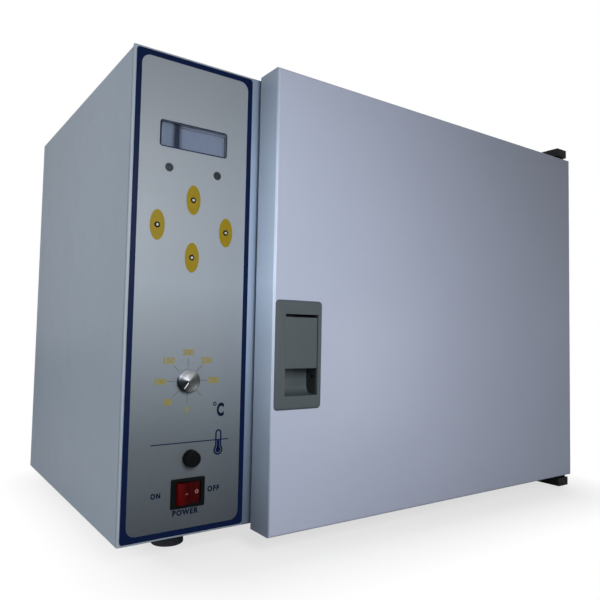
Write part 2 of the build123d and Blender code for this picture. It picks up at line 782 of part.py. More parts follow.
with BuildPart() as thermostat_spindle:
    round_bar(spindle_radius, (dial_x, spindle_tip_y, dial_z), (dial_x, spindle_end_y, dial_z))
    fillet(thermostat_spindle.edges().group_by(Axis.Y)[0], radius=0.4)
finish(thermostat_spindle, "thermostat_spindle")

knob_radius = 10.0
knob_bore_gap = 0.02
knob_back_y = overlay_front_y - seat_gap
knob_height = 4.8
knob_rim = 1.0
knob_dish = 0.5
knob_scale_zero = -90.0     # direction of the 0 mark, seen from the front
knob_reading = 40.0
degrees_per_mark = 45.0 / 50.0
pointer_length = 6.5
pointer_width = 1.0
pointer_inner = 2.0
pointer_angle = radians(knob_scale_zero - knob_reading * degrees_per_mark)

with BuildPart() as thermostat_knob:
    with BuildSketch(Plane(origin=(dial_x, knob_back_y, dial_z), x_dir=(1, 0, 0),
                           z_dir=(0, 0, 1))):
        with BuildLine():
            Polyline((0, 0), (knob_radius, 0), (knob_radius - 0.5, -knob_height),
                     (knob_radius - knob_rim - 1.0, -knob_height), (0, -knob_height + knob_dish),
                     close=True)
        make_face()
    revolve(axis=Axis((dial_x, 0, dial_z), (0, 1, 0)))
    rim_edges = thermostat_knob.edges().filter_by(GeomType.CIRCLE).group_by(Axis.Y)[0]
    fillet(rim_edges.sort_by(SortBy.RADIUS)[-1], radius=knob_rim * 0.8)
    round_bar(spindle_radius + knob_bore_gap, (dial_x, knob_back_y + overcut, dial_z),
              (dial_x, spindle_tip_y, dial_z), mode=Mode.SUBTRACT)
    with BuildSketch(front_plane(knob_back_y - knob_height)):
        middle = pointer_inner + pointer_length / 2
        with Locations(Location((dial_x + middle * cos(pointer_angle),
                                 dial_z + middle * sin(pointer_angle)),
                                knob_scale_zero - knob_reading * degrees_per_mark)):
            SlotOverall(pointer_length, pointer_width)
    extrude(amount=-(knob_dish + 0.4), mode=Mode.SUBTRACT)
finish(thermostat_knob, "thermostat_knob")

limiter_plate_y = behind(3.0)
limiter_width = 32.0
limiter_height = 26.0
neck_end_y = behind(-6.6)
pin_tip_y = behind(-6.8)
pin_collar_radius = 3.0
pin_collar_y = (behind(7.3), behind(9.3))
pin_room_y = (behind(7.0), behind(14.0))

with BuildPart() as limiter_body:
    block(across(cap_x, limiter_width), (behind(case_sheet), limiter_back_y),
          across(cap_z, limiter_height))
    round_bar(neck_radius, (cap_x, neck_end_y, cap_z), (cap_x, limiter_plate_y, cap_z))
    round_bar(reset_pin_radius + running_gap, (cap_x, neck_end_y - overcut, cap_z),
              (cap_x, pin_room_y[1], cap_z), mode=Mode.SUBTRACT)
    round_bar(pin_collar_radius + seat_gap, (cap_x, pin_room_y[0], cap_z),
              (cap_x, pin_room_y[1], cap_z), mode=Mode.SUBTRACT)
finish(limiter_body, "limiter_body")

with BuildPart() as reset_pin:
    round_bar(reset_pin_radius, (cap_x, pin_tip_y, cap_z), (cap_x, pin_collar_y[1], cap_z))
    round_bar(pin_collar_radius, (cap_x, pin_collar_y[0], cap_z), (cap_x, pin_collar_y[1], cap_z))
finish(reset_pin, "reset_pin")

washer_front_y = behind(-1.6)
washer_radius = 7.4
cap_base_radius = 7.5
cap_back_y = washer_front_y - running_gap
cap_face_y = behind(-8.8)
cap_room_y = behind(-7.5)
cap_ribs = 24
cap_rib_radius = 0.35

with BuildPart() as cap_washer:
    round_bar(washer_radius, (cap_x, washer_front_y, cap_z),
              (cap_x, overlay_front_y - seat_gap, cap_z))
    round_bar(neck_radius + seat_gap, (cap_x, washer_front_y - overcut, cap_z),
              (cap_x, fascia_y, cap_z), mode=Mode.SUBTRACT)
finish(cap_washer, "cap_washer")

with BuildPart() as reset_cap:
    with BuildSketch(front_plane(cap_back_y)):
        with Locations((cap_x, cap_z)):
            Circle(cap_base_radius)
            with PolarLocations(cap_base_radius, cap_ribs):
                Circle(cap_rib_radius, mode=Mode.SUBTRACT)
    extrude(amount=cap_back_y - cap_face_y, taper=6)
    fillet(reset_cap.faces().sort_by(Axis.Y)[0].edges(), radius=0.3)
    round_bar(neck_radius + running_gap, (cap_x, cap_back_y + overcut, cap_z),
              (cap_x, cap_room_y, cap_z), mode=Mode.SUBTRACT)
finish(reset_cap, "reset_cap")

bezel_width = 31.4
bezel_rise = 25.0
bezel_proud = 2.0
bezel_face_y = overlay_front_y - bezel_proud
switch_back_y = behind(22.0)
blade_end_y = behind(30.0)
rocker_tilt = 13.0
rocker_pivot_y = behind(1.0)
rocker_sweep = 11.2
rocker_height = 18.0
rocker_room = rocker_sweep + slide_gap
rocker_tip_round = 1.5
rocker_room_end_y = behind(9.0)
rocker_pressed_y = bezel_face_y - seat_gap - fit_gap
rocker_base = 5.0
trunnion_radius = 1.5
trunnion_length = 1.0
bezel_corner = 1.2
bezel_bevel = 0.7
blade_pitch = 8.0
blade_thickness = 0.8
blade_width = 6.3

with BuildPart() as switch_housing:
    block(across(switch_x, bezel_width), (bezel_face_y, overlay_front_y),
          across(switch_z, bezel_rise))
    fillet(switch_housing.edges().filter_by(Axis.Y), radius=bezel_corner)
    chamfer(switch_housing.faces().sort_by(Axis.Y)[0].edges(), length=bezel_bevel)
    block(across(switch_x, switch_body_width), (overlay_front_y, switch_back_y),
          across(switch_z, switch_body_height))
    block(across(switch_x, 2 * rocker_room), (bezel_face_y - overcut, rocker_room_end_y),
          across(switch_z, rocker_height + 2 * slide_gap), mode=Mode.SUBTRACT)
    round_bar(trunnion_radius + running_gap,
              (switch_x, rocker_pivot_y, switch_z - rocker_height / 2 - trunnion_length - running_gap),
              (switch_x, rocker_pivot_y, switch_z + rocker_height / 2 + trunnion_length + running_gap),
              mode=Mode.SUBTRACT)
    for blade_x in (switch_x - blade_pitch, switch_x, switch_x + blade_pitch):
        block(across(blade_x, blade_thickness), (switch_back_y, blade_end_y),
              across(switch_z, blade_width))
finish(switch_housing, "switch_housing")

valley = (rocker_pressed_y - rocker_pivot_y) / cos(radians(rocker_tilt))
wing_rise = rocker_sweep * sin(radians(rocker_tilt)) / cos(radians(rocker_tilt))
tilted = (cos(radians(rocker_tilt)), sin(radians(rocker_tilt)), 0)

with BuildPart() as switch_rocker:
    with BuildSketch(Plane(origin=(switch_x, rocker_pivot_y, switch_z - rocker_height / 2),
                           x_dir=tilted, z_dir=(0, 0, 1))):
        Circle(rocker_sweep)
        with BuildLine():
            Polyline((-rocker_sweep, valley - wing_rise), (0, valley),
                     (rocker_sweep, valley - wing_rise), (rocker_sweep, rocker_base),
                     (-rocker_sweep, rocker_base), close=True)
        make_face(mode=Mode.INTERSECT)
    extrude(amount=rocker_height)
    inward = Axis((switch_x, rocker_pivot_y, switch_z), (-tilted[1], tilted[0], 0))
    wing_tips = switch_rocker.edges().filter_by(Axis.Z).sort_by(inward)[:2]
    fillet(wing_tips, radius=rocker_tip_round)
    round_bar(trunnion_radius,
              (switch_x, rocker_pivot_y, switch_z - rocker_height / 2 - trunnion_length),
              (switch_x, rocker_pivot_y, switch_z + rocker_height / 2 + trunnion_length))
finish(switch_rocker, "switch_rocker")

# ================================================================ rear and electric bay
inlet_flange_width = 50.0
inlet_flange_height = 23.0
inlet_flange = 2.5
inlet_front_y = panel_back_y - 22.0
socket_width = 24.0
socket_height = 16.6
socket_depth = 17.0
socket_floor_y = panel_back_y + inlet_flange - socket_depth
pin_width = 2.0
pin_height = 4.0
pin_pitch = 7.0
pin_step = 2.0             # the middle blade stands this much higher, the outer ones lower
pin_tip_gap = 3.0
pin_spots = [(inlet_x - pin_pitch, inlet_z - pin_step), (inlet_x, inlet_z + pin_step),
             (inlet_x + pin_pitch, inlet_z - pin_step)]

with BuildPart() as mains_inlet:
    block(across(inlet_x, inlet_flange_width), (panel_back_y, panel_back_y + inlet_flange),
          across(inlet_z, inlet_flange_height))
    fillet(mains_inlet.edges().filter_by(Axis.Y), radius=3.0)
    block(across(inlet_x, inlet_body_width), (inlet_front_y, panel_back_y),
          across(inlet_z, inlet_body_height))
    with BuildSketch(front_plane(socket_floor_y)):
        with Locations((inlet_x, inlet_z)):
            socket_outline = Rectangle(socket_width, socket_height)
        chamfer(socket_outline.vertices().group_by(Axis.Y)[-1], length=4.0)
    extrude(amount=-socket_depth, mode=Mode.SUBTRACT)
    for pin_x, pin_z in pin_spots:
        block(across(pin_x, pin_width), (inlet_front_y - overcut, socket_floor_y + overcut),
              across(pin_z, pin_height), mode=Mode.SUBTRACT)
    for screw_x, screw_z in inlet_screw_spots:
        round_bar(rear_screw_radius + screw_hole_gap, (screw_x, panel_front_y, screw_z),
                  (screw_x, panel_back_y + 2 * inlet_flange, screw_z), mode=Mode.SUBTRACT)
finish(mains_inlet, "mains_inlet")

with BuildPart() as inlet_pins:
    for pin_x, pin_z in pin_spots:
        block(across(pin_x, pin_width), (inlet_front_y, panel_back_y + inlet_flange - pin_tip_gap),
              across(pin_z, pin_height))
finish(inlet_pins, "inlet_pins")

relay_x = from_left(95.0)
relay_width = 44.0
relay_length = 58.0
relay_height = 24.0
relay_corner = 2.0
relay_base_inset = 3.0     # base plate inside the relay's ends
relay_cup_radius = 4.0
relay_cup_depth = 5.0
relay_cup_x = 14.0         # cups from the relay's middle
relay_cup_y = 22.0
relay_top = pan_floor_z + relay_height

with BuildPart() as heater_relay:
    block(across(relay_x, relay_width), across(heater_rows[-1], relay_length),
          (pan_floor_z + case_sheet, relay_top))
    fillet(heater_relay.edges().filter_by(Axis.Z), radius=relay_corner)
    for cup_x in (relay_x - relay_cup_x, relay_x + relay_cup_x):
        for cup_y in (heater_rows[-1] - relay_cup_y, heater_rows[-1] + relay_cup_y):
            round_bar(relay_cup_radius, (cup_x, cup_y, relay_top - relay_cup_depth),
                      (cup_x, cup_y, relay_top + overcut), mode=Mode.SUBTRACT)
    block(across(relay_x, relay_width),
          across(heater_rows[-1], relay_length - 2 * relay_base_inset),
          (pan_floor_z, pan_floor_z + case_sheet))
finish(heater_relay, "heater_relay")

terminal_height = 18.0
terminal_top = pan_floor_z + terminal_height
terminal_ways = 6
terminal_pitch = 10.0
terminal_width = 22.0
terminal_rows_apart = 14.0
terminal_hole_radius = 2.4
terminal_hole_depth = 5.0

with BuildPart() as terminal_block:
    block(across(relay_x, terminal_width), across(heater_rows[0], terminal_ways * terminal_pitch),
          (pan_floor_z, terminal_top))
    with BuildSketch(Plane.XY.offset(terminal_top)):
        with Locations((relay_x, heater_rows[0] + terminal_pitch / 2)):
            with GridLocations(terminal_rows_apart, terminal_pitch, 2, terminal_ways - 1):
                Circle(terminal_hole_radius)
    extrude(amount=-terminal_hole_depth, mode=Mode.SUBTRACT)
finish(terminal_block, "terminal_block")

mains_wire_radius = 3.0
heater_wire_radius = 2.0
probe_wire_radius = 1.5
wire_bend = 12.0


def wire_run(radius, corners, bend):
    """Sleeved wire along its route."""
    with BuildPart() as run:
        with BuildLine() as route:
            FilletPolyline(*corners, radius=bend)
        with BuildSketch(Plane(origin=route.line @ 0, z_dir=route.line % 0)):
            Circle(radius)
        sweep(path=route.line)
    return run.part


mains_route = [
    (inlet_x, inlet_front_y, inlet_z),
    (inlet_x, behind(110.0), inlet_z),
    (switch_x, behind(70.0), switch_z),
    (switch_x, blade_end_y, switch_z),
]
relay_wire_route = [
    (relay_x, heater_rows[-1], relay_top),
    (relay_x, heater_rows[-1], heater_z),
    (heater_tail_x, heater_rows[-1], heater_z),
]
return_wire_route = [
    (relay_x, heater_rows[0], terminal_top),
    (relay_x, heater_rows[0], heater_z),
    (heater_tail_x, heater_rows[0], heater_z),
]
probe_wire_route = [
    (probe_plug_x, plug_back_y, plug_z),
    (probe_plug_x, probe_y, plug_z),
    (probe_plug_x, probe_y, probe_z),
    (probe_tail_x, probe_y, probe_z),
]

with BuildPart() as wiring:
    add(wire_run(mains_wire_radius, mains_route, wire_bend * 2))
    add(wire_run(heater_wire_radius, relay_wire_route, wire_bend))
    add(wire_run(heater_wire_radius, return_wire_route, wire_bend))
    add(wire_run(probe_wire_radius, probe_wire_route, wire_bend))
finish(wiring, "wiring")

# ================================================================ door
door_left_x = from_left(door_left)
door_inner_front_y = door_front_y + case_sheet
liner_face_y = door_back_y - case_sheet

latch_x = (from_left(123.4), from_left(175.4))
latch_z = (above(107.5), above(207.0))
tray_x = (from_left(134.0), from_left(170.5))
tray_z = (above(120.0), above(194.3))
tray_wall = 2.0
tray_back_y = door_front_y + 16.5
tray_corner = 8.0
latch_corner = 4.0
rib_outer = 5.8            # channel's outer face from the bolt's centre
bolt_width = 8.0
latch_cut_x = (latch_slot_x - rib_outer - seat_gap, tray_x[1] + tray_wall + seat_gap)
latch_cut_z = (tray_z[0] - tray_wall - seat_gap, tray_z[1] + tray_wall + seat_gap)

bush_radius = hinge_pin_radius + running_gap + bush_wall
door_slot_x = across(latch_slot_x, latch_slot_width)
door_slot_z = (latch_slot_bottom, latch_slot_top)

with BuildPart() as door_shell:
    block((door_left_x, case_right), (door_front_y, door_back_y), (door_bottom, door_top))
    fillet(door_shell.faces().sort_by(Axis.Y)[0].edges(), radius=door_front_round)
    fillet(door_shell.edges().filter_by(Axis.Z).group_by(Axis.Y)[-1], radius=door_edge_round)
    offset(amount=-case_sheet, mode=Mode.SUBTRACT)
    block((door_left_x + door_lip, case_right - door_lip),
          (door_back_y - 2 * case_sheet, door_back_y + case_sheet),
          (door_bottom + door_lip, door_top - door_lip), mode=Mode.SUBTRACT)
    block(latch_cut_x, (door_front_y - case_sheet, door_front_y + 2 * case_sheet), latch_cut_z,
          mode=Mode.SUBTRACT)
    block(door_slot_x, (door_back_y - 2 * case_sheet, door_back_y + case_sheet), door_slot_z,
          mode=Mode.SUBTRACT)
    round_bar(bush_radius + fit_gap, (hinge_x, hinge_y, door_bottom - case_sheet),
              (hinge_x, hinge_y, door_top + case_sheet), mode=Mode.SUBTRACT)
finish(door_shell, "door_shell")

liner_side = 3.7           # keeps the liner clear of the shell's rounded back corners
recess_margin = 18.0
recess_depth = 6.0
liner_x = (door_left_x + liner_side, case_right - liner_side)
liner_z = (door_bottom + case_sheet + seat_gap, door_top - case_sheet - seat_gap)
recess_x = (chamber_left + recess_margin, chamber_right - recess_margin)
recess_z = (chamber_floor + recess_margin, chamber_roof - recess_margin)

with BuildPart() as door_liner:
    block(liner_x, (liner_face_y - liner_sheet, liner_face_y), liner_z)
    block(recess_x, (liner_face_y - recess_depth, liner_face_y), recess_z)
    block((recess_x[0] + liner_sheet, recess_x[1] - liner_sheet),
          (liner_face_y - recess_depth + liner_sheet, liner_face_y + liner_sheet),
          (recess_z[0] + liner_sheet, recess_z[1] - liner_sheet), mode=Mode.SUBTRACT)
    block(door_slot_x, (liner_face_y - 2 * liner_sheet, liner_face_y + liner_sheet), door_slot_z,
          mode=Mode.SUBTRACT)
finish(door_liner, "door_liner")

wool_back_y = liner_face_y - recess_depth - seat_gap
hinge_room_radius = bush_radius + 3.0

with BuildPart() as door_insulation:
    block((door_left_x + door_front_round + seat_gap, case_right - door_front_round - seat_gap),
          (door_inner_front_y + seat_gap, wool_back_y),
          (door_bottom + door_front_round + seat_gap, door_top - door_front_round - seat_gap))
    block((door_left_x, latch_x[1] + seat_gap), (door_front_y, door_back_y),
          (latch_z[0] - seat_gap, latch_z[1] + seat_gap), mode=Mode.SUBTRACT)
    for end_z in (door_bottom, door_top):
        round_bar(hinge_room_radius, (hinge_x, hinge_y, end_z - bush_length - 2.0),
                  (hinge_x, hinge_y, end_z + bush_length + 2.0), mode=Mode.SUBTRACT)
finish(door_insulation, "door_insulation")

gasket_width = 10.0
gasket_clear = 5.0         # from the chamber's edge to the gasket
gasket_face_y = behind(-seat_gap)
gasket_round = 2.5
gasket_inner_width = chamber_width + 2 * gasket_clear
gasket_inner_height = chamber_height + 2 * gasket_clear

with BuildPart() as door_gasket:
    with BuildSketch(front_plane(liner_face_y)):
        with Locations((chamber_x, chamber_z)):
            RectangleRounded(gasket_inner_width + 2 * gasket_width,
                             gasket_inner_height + 2 * gasket_width, 2 * gasket_width)
            RectangleRounded(gasket_inner_width, gasket_inner_height, gasket_width,
                             mode=Mode.SUBTRACT)
    extrude(amount=-(gasket_face_y - liner_face_y))
    fillet(door_gasket.faces().sort_by(Axis.Y)[-1].edges(), radius=gasket_round)
finish(door_gasket, "door_gasket")

# ================================================================ latch
paddle_clear = 0.4
paddle_x = (tray_x[0] + paddle_clear, tray_x[1] - paddle_clear)
paddle_z = (above(144.6), above(191.7))
paddle_face_y = latch_face_y + 0.6
paddle_plate = 3.2
pivot_y = door_front_y + 2.8
pivot_z = above(187.5)
pivot_pin_radius = 1.5
boss_radius = 3.2
boss_length = 6.6
right_boss_length = 10.1
crank_reach = 16.0
crank_radius = 2.0
crank_width = 4.0
grip_depth = 6.9
grip_height = 3.0

bolt_y = (tray_back_y + 5.0, tray_back_y + 7.8)
bolt_z = (above(140.0), above(190.0))
ledge_gap = 0.4
ledge_thickness = 4.0
ledge_width = 6.0
ledge_top = pivot_z - crank_radius - ledge_gap
bolt_ledge_front_y = tray_back_y + fit_gap
hook_front_y = behind(2.0)
hook_back_y = behind(7.0)
channel_wall = 1.5
channel_lip_reach = 2.8
channel_front_y = tray_back_y
channel_lip_y = (bolt_y[1] + fit_gap, bolt_y[1] + fit_gap + 1.2)
channel_z = (above(126.0), above(192.0))
channel_half = bolt_width / 2 + slide_gap
arm_slot_z = (ledge_top - ledge_thickness - bolt_travel - slot_gap, pivot_z + crank_radius + slot_gap)

latch_flank_angle = 50.0     # slope of the frame's outer edge, from square
latch_edge_round = 0.4
key_slot_y = (door_front_y + 6.0, door_front_y + 11.0)
key_slot_z = (above(135.5), above(137.5))

with BuildPart() as latch_frame:
    with BuildSketch(front_plane(door_front_y)):
        with Locations(((latch_x[0] + latch_x[1]) / 2, (latch_z[0] + latch_z[1]) / 2)):
            RectangleRounded(latch_x[1] - latch_x[0], latch_z[1] - latch_z[0], latch_corner)
    extrude(amount=latch_proud, taper=latch_flank_angle)
    fillet(latch_frame.faces().sort_by(Axis.Y)[0].edges(), radius=latch_edge_round)
    block((tray_x[0] - tray_wall, tray_x[1] + tray_wall),
          (door_front_y, tray_back_y + tray_wall), (tray_z[0] - tray_wall, tray_z[1] + tray_wall))
    for side in (-1, 1):
        block(sorted((latch_slot_x + side * channel_half, latch_slot_x + side * rib_outer)),
              (channel_front_y, channel_lip_y[1]), channel_z)
        block(sorted((latch_slot_x + side * (rib_outer - channel_lip_reach),
                      latch_slot_x + side * rib_outer)), channel_lip_y, channel_z)
    block(across(latch_slot_x, 2 * rib_outer), (channel_front_y, channel_lip_y[1]),
          (channel_z[0] - channel_wall, channel_z[0]))
    with BuildSketch(side_plane(tray_x[0])) as tray_profile:
        with Locations((tray_back_y, tray_z[0])):
            Rectangle(tray_back_y - latch_face_y + tray_wall, tray_z[1] - tray_z[0],
                      align=(Align.MAX, Align.MIN))
        fillet(tray_profile.vertices().group_by(Axis.Y)[0].sort_by(Axis.X)[-1],
               radius=tray_corner)
    extrude(amount=tray_x[1] - tray_x[0], mode=Mode.SUBTRACT)
    block(across(latch_slot_x, bolt_width), (tray_back_y - overcut, tray_back_y + tray_wall + overcut),
          arm_slot_z, mode=Mode.SUBTRACT)
    block((tray_x[1] - overcut, tray_x[1] + tray_wall + overcut), key_slot_y, key_slot_z,
          mode=Mode.SUBTRACT)
    round_bar(pivot_pin_radius + running_gap, (tray_x[0] - tray_wall - overcut, pivot_y, pivot_z),
              (tray_x[1] + tray_wall + overcut, pivot_y, pivot_z), mode=Mode.SUBTRACT)
finish(latch_frame, "latch_frame")

with BuildPart() as latch_paddle:
    block(paddle_x, (paddle_face_y, paddle_face_y + paddle_plate), paddle_z)
    block(paddle_x, (paddle_face_y, paddle_face_y + grip_depth),
          (paddle_z[0], paddle_z[0] + grip_height))
    fillet(latch_paddle.faces().sort_by(Axis.Y)[0].edges(), radius=0.8)
    round_bar(boss_radius, (paddle_x[0], pivot_y, pivot_z),
              (paddle_x[0] + boss_length, pivot_y, pivot_z))
    round_bar(boss_radius, (paddle_x[1] - right_boss_length, pivot_y, pivot_z),
              (paddle_x[1], pivot_y, pivot_z))
    block(across(latch_slot_x, crank_width), (pivot_y, pivot_y + crank_reach),
          across(pivot_z, 2 * crank_radius))
    round_bar(crank_radius, (latch_slot_x - crank_width / 2, pivot_y + crank_reach, pivot_z),
              (latch_slot_x + crank_width / 2, pivot_y + crank_reach, pivot_z))
    round_bar(pivot_pin_radius + running_gap, (paddle_x[0] - overcut, pivot_y, pivot_z),
              (paddle_x[1] + overcut, pivot_y, pivot_z), mode=Mode.SUBTRACT)
finish(latch_paddle, "latch_paddle")

with BuildPart() as paddle_pin:
    round_bar(pivot_pin_radius, (tray_x[0] - tray_wall, pivot_y, pivot_z),
              (tray_x[1] + tray_wall, pivot_y, pivot_z))
finish(paddle_pin, "paddle_pin")

with BuildPart() as latch_bolt:
    block(across(latch_slot_x, bolt_width), bolt_y, bolt_z)
    block(across(latch_slot_x, ledge_width), (bolt_ledge_front_y, bolt_y[0]),
          (ledge_top - ledge_thickness, ledge_top))
    block(across(latch_slot_x, tongue_width), (bolt_y[1], hook_back_y),
          (tongue_bottom, tongue_top))
    block(across(latch_slot_x, tongue_width), (hook_front_y, hook_back_y),
          (tongue_top, tongue_top + hook_rise))
    chamfer(latch_bolt.faces().sort_by(Axis.Y)[-1].edges().sort_by(Axis.Z)[-1], length=hook_slope)
finish(latch_bolt, "latch_bolt")

spring_wire_radius = 0.35
spring_radius = 2.1
spring_turns = 7
spring_bottom = channel_z[0] + spring_wire_radius + running_gap
spring_top = bolt_z[0] - spring_wire_radius - running_gap
spring_y = (bolt_y[0] + bolt_y[1]) / 2

with BuildPart() as bolt_spring:
    with BuildLine() as coil:
        Helix(pitch=(spring_top - spring_bottom) / spring_turns,
              height=spring_top - spring_bottom, radius=spring_radius,
              center=(latch_slot_x, spring_y, spring_bottom))
    with BuildSketch(Plane(origin=coil.line @ 0, z_dir=coil.line % 0)):
        Circle(spring_wire_radius)
    sweep(path=coil.line, is_frenet=True)
finish(bolt_spring, "bolt_spring")

striker_width = 20.0
striker_margin = 12.0
striker_sheet = 1.5

with BuildPart() as striker_plate:
    with BuildSketch(front_plane(fascia_y)):
        with Locations((latch_slot_x, (latch_slot_bottom + latch_slot_top) / 2)):
            RectangleRounded(striker_width,
                             latch_slot_top - latch_slot_bottom + 2 * striker_margin, 2.0)
        with Locations(*striker_screw_spots):
            Circle(striker_screw_radius + screw_hole_gap, mode=Mode.SUBTRACT)
    extrude(amount=striker_sheet)
    extrude(latch_slot.sketch, amount=striker_sheet, both=True, mode=Mode.SUBTRACT)
finish(striker_plate, "striker_plate")

# ================================================================ hinge
screw_head_radius = 4.2


def hinge_bar(label, pad_z, bar_z, outer_z):
    """Bar over one end of the door, with the pad that stands on the case."""
    with BuildPart() as bar:
        block(across(bracket_centre_x, bracket_width), (bracket_front_y, bracket_back_y), bar_z)
        fillet(bar.edges().filter_by(Axis.Z), radius=1.5)
        block(across(bracket_centre_x, bracket_width), (behind(1.0), bracket_back_y), pad_z)
        round_bar(hinge_pin_radius + running_gap / 2, (hinge_x, hinge_y, bar_z[0] - overcut),
                  (hinge_x, hinge_y, bar_z[1] + overcut), mode=Mode.SUBTRACT)
        for screw_y in bracket_screw_spots:
            round_bar(bracket_screw_radius + screw_hole_gap,
                      (bracket_centre_x, screw_y, min(pad_z[0], bar_z[0]) - overcut),
                      (bracket_centre_x, screw_y, max(pad_z[1], bar_z[1]) + overcut),
                      mode=Mode.SUBTRACT)
            inward = -1 if outer_z == bar_z[1] else 1
            round_bar(screw_head_radius + screw_hole_gap,
                      (bracket_centre_x, screw_y, outer_z - inward * overcut),
                      (bracket_centre_x, screw_y, outer_z + inward * 3.0), mode=Mode.SUBTRACT)
    finish(bar, label)


top_bar_z = (door_top + hinge_gap, door_top + hinge_gap + bracket_bar)
bottom_bar_z = (door_bottom - hinge_gap - bracket_bar, door_bottom - hinge_gap)
hinge_bar("top_hinge_bracket", (case_top, top_bar_z[0]), top_bar_z, top_bar_z[1])
hinge_bar("bottom_hinge_bracket", (bottom_bar_z[1], case_bottom), bottom_bar_z, bottom_bar_z[0])

with BuildPart() as hinge_pins:
    round_bar(hinge_pin_radius, (hinge_x, hinge_y, door_top - bush_length),
              (hinge_x, hinge_y, top_bar_z[1]))
    round_bar(hinge_pin_radius, (hinge_x, hinge_y, bottom_bar_z[0]),
              (hinge_x, hinge_y, door_bottom + bush_length))
finish(hinge_pins, "hinge_pins")

with BuildPart() as hinge_bushes:
    for door_end, outward in ((door_top, 1), (door_bottom, -1)):
        flange_face = door_end + outward * (hinge_gap - seat_gap)
        round_bar(bush_radius, (hinge_x, hinge_y, door_end - outward * bush_length),
                  (hinge_x, hinge_y, flange_face))
        round_bar(bush_flange_radius, (hinge_x, hinge_y, door_end),
                  (hinge_x, hinge_y, flange_face))
        round_bar(hinge_pin_radius + running_gap,
                  (hinge_x, hinge_y, door_end - outward * (bush_length + overcut)),
                  (hinge_x, hinge_y, flange_face + outward * overcut), mode=Mode.SUBTRACT)
finish(hinge_bushes, "hinge_bushes")

screw_tip_top = jacket_top + seat_gap
screw_tip_bottom = jacket_bottom - seat_gap
head_height = 2.6

with BuildPart() as bracket_screws:
    for outer_z, tip_z, outward in ((top_bar_z[1], screw_tip_top, 1),
                                    (bottom_bar_z[0], screw_tip_bottom, -1)):
        seat_z = outer_z - outward * 3.0
        for screw_y in bracket_screw_spots:
            round_bar(bracket_screw_radius, (bracket_centre_x, screw_y, tip_z),
                      (bracket_centre_x, screw_y, seat_z))
            round_bar(screw_head_radius, (bracket_centre_x, screw_y, seat_z),
                      (bracket_centre_x, screw_y, seat_z + outward * head_height))
            with BuildSketch(Plane(origin=(bracket_centre_x, screw_y,
                                           seat_z + outward * head_height),
                                   z_dir=(0, 0, outward))):
                RegularPolygon(2.0, 6)
            extrude(amount=-1.6, mode=Mode.SUBTRACT)
finish(bracket_screws, "bracket_screws")

# ================================================================ feet and screws
foot_radius = 15.0
foot_top_radius = 13.5
foot_bore_radius = 6.0
foot_seat_z = 11.0
foot_head_height = 3.0

with BuildPart() as feet:
    for foot_x, foot_y in foot_spots:
        with Locations((foot_x, foot_y, 0)):
            Cone(foot_radius, foot_top_radius, foot_height,
                 align=(Align.CENTER, Align.CENTER, Align.MIN))
        round_bar(foot_bore_radius, (foot_x, foot_y, -overcut), (foot_x, foot_y, foot_seat_z),
                  mode=Mode.SUBTRACT)
        round_bar(foot_screw_radius + screw_hole_gap, (foot_x, foot_y, 0),
                  (foot_x, foot_y, foot_height + overcut), mode=Mode.SUBTRACT)
finish(feet, "feet")

foot_head_radius = 4.0

with BuildPart() as foot_screws:
    for foot_x, foot_y in foot_spots:
        round_bar(foot_screw_radius, (foot_x, foot_y, foot_seat_z),
                  (foot_x, foot_y, screw_tip_bottom))
        round_bar(foot_head_radius, (foot_x, foot_y, foot_seat_z - foot_head_height),
                  (foot_x, foot_y, foot_seat_z))
finish(foot_screws, "foot_screws")

pan_head_radius = 3.6
pan_head_height = 2.2
rear_screw_depth = 8.0
striker_screw_depth = 6.0
recess_reach = 3.4         # the screw head's cross, tip to tip
recess_width = 0.8
recess_depth = 1.2


def pan_screw(radius, spot, seat_y, facing, depth):
    """Pan-head screw with a cross recess; facing is the side that the head stands out on."""
    x, z = spot
    round_bar(radius, (x, seat_y, z), (x, seat_y - facing * depth, z))
    round_bar(radius * pan_head_radius / rear_screw_radius, (x, seat_y, z),
              (x, seat_y + facing * pan_head_height, z))
    face_y = seat_y + facing * pan_head_height
    recess = sorted((face_y + facing * overcut, face_y - facing * recess_depth))
    block(across(x, recess_reach), recess, across(z, recess_width), mode=Mode.SUBTRACT)
    block(across(x, recess_width), recess, across(z, recess_reach), mode=Mode.SUBTRACT)


with BuildPart() as case_screws:
    for spot in rear_screw_spots:
        pan_screw(rear_screw_radius, spot, back_y, 1, rear_screw_depth)
    for spot in inlet_screw_spots:
        pan_screw(rear_screw_radius, spot, panel_back_y + inlet_flange, 1, rear_screw_depth)
    for x, z in striker_screw_spots:
        round_bar(striker_screw_radius, (x, behind(-striker_sheet), z),
                  (x, behind(striker_screw_depth), z))
finish(case_screws, "case_screws")
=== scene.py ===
import json
import math
import bpy
import bmesh
from mathutils import Matrix, Vector

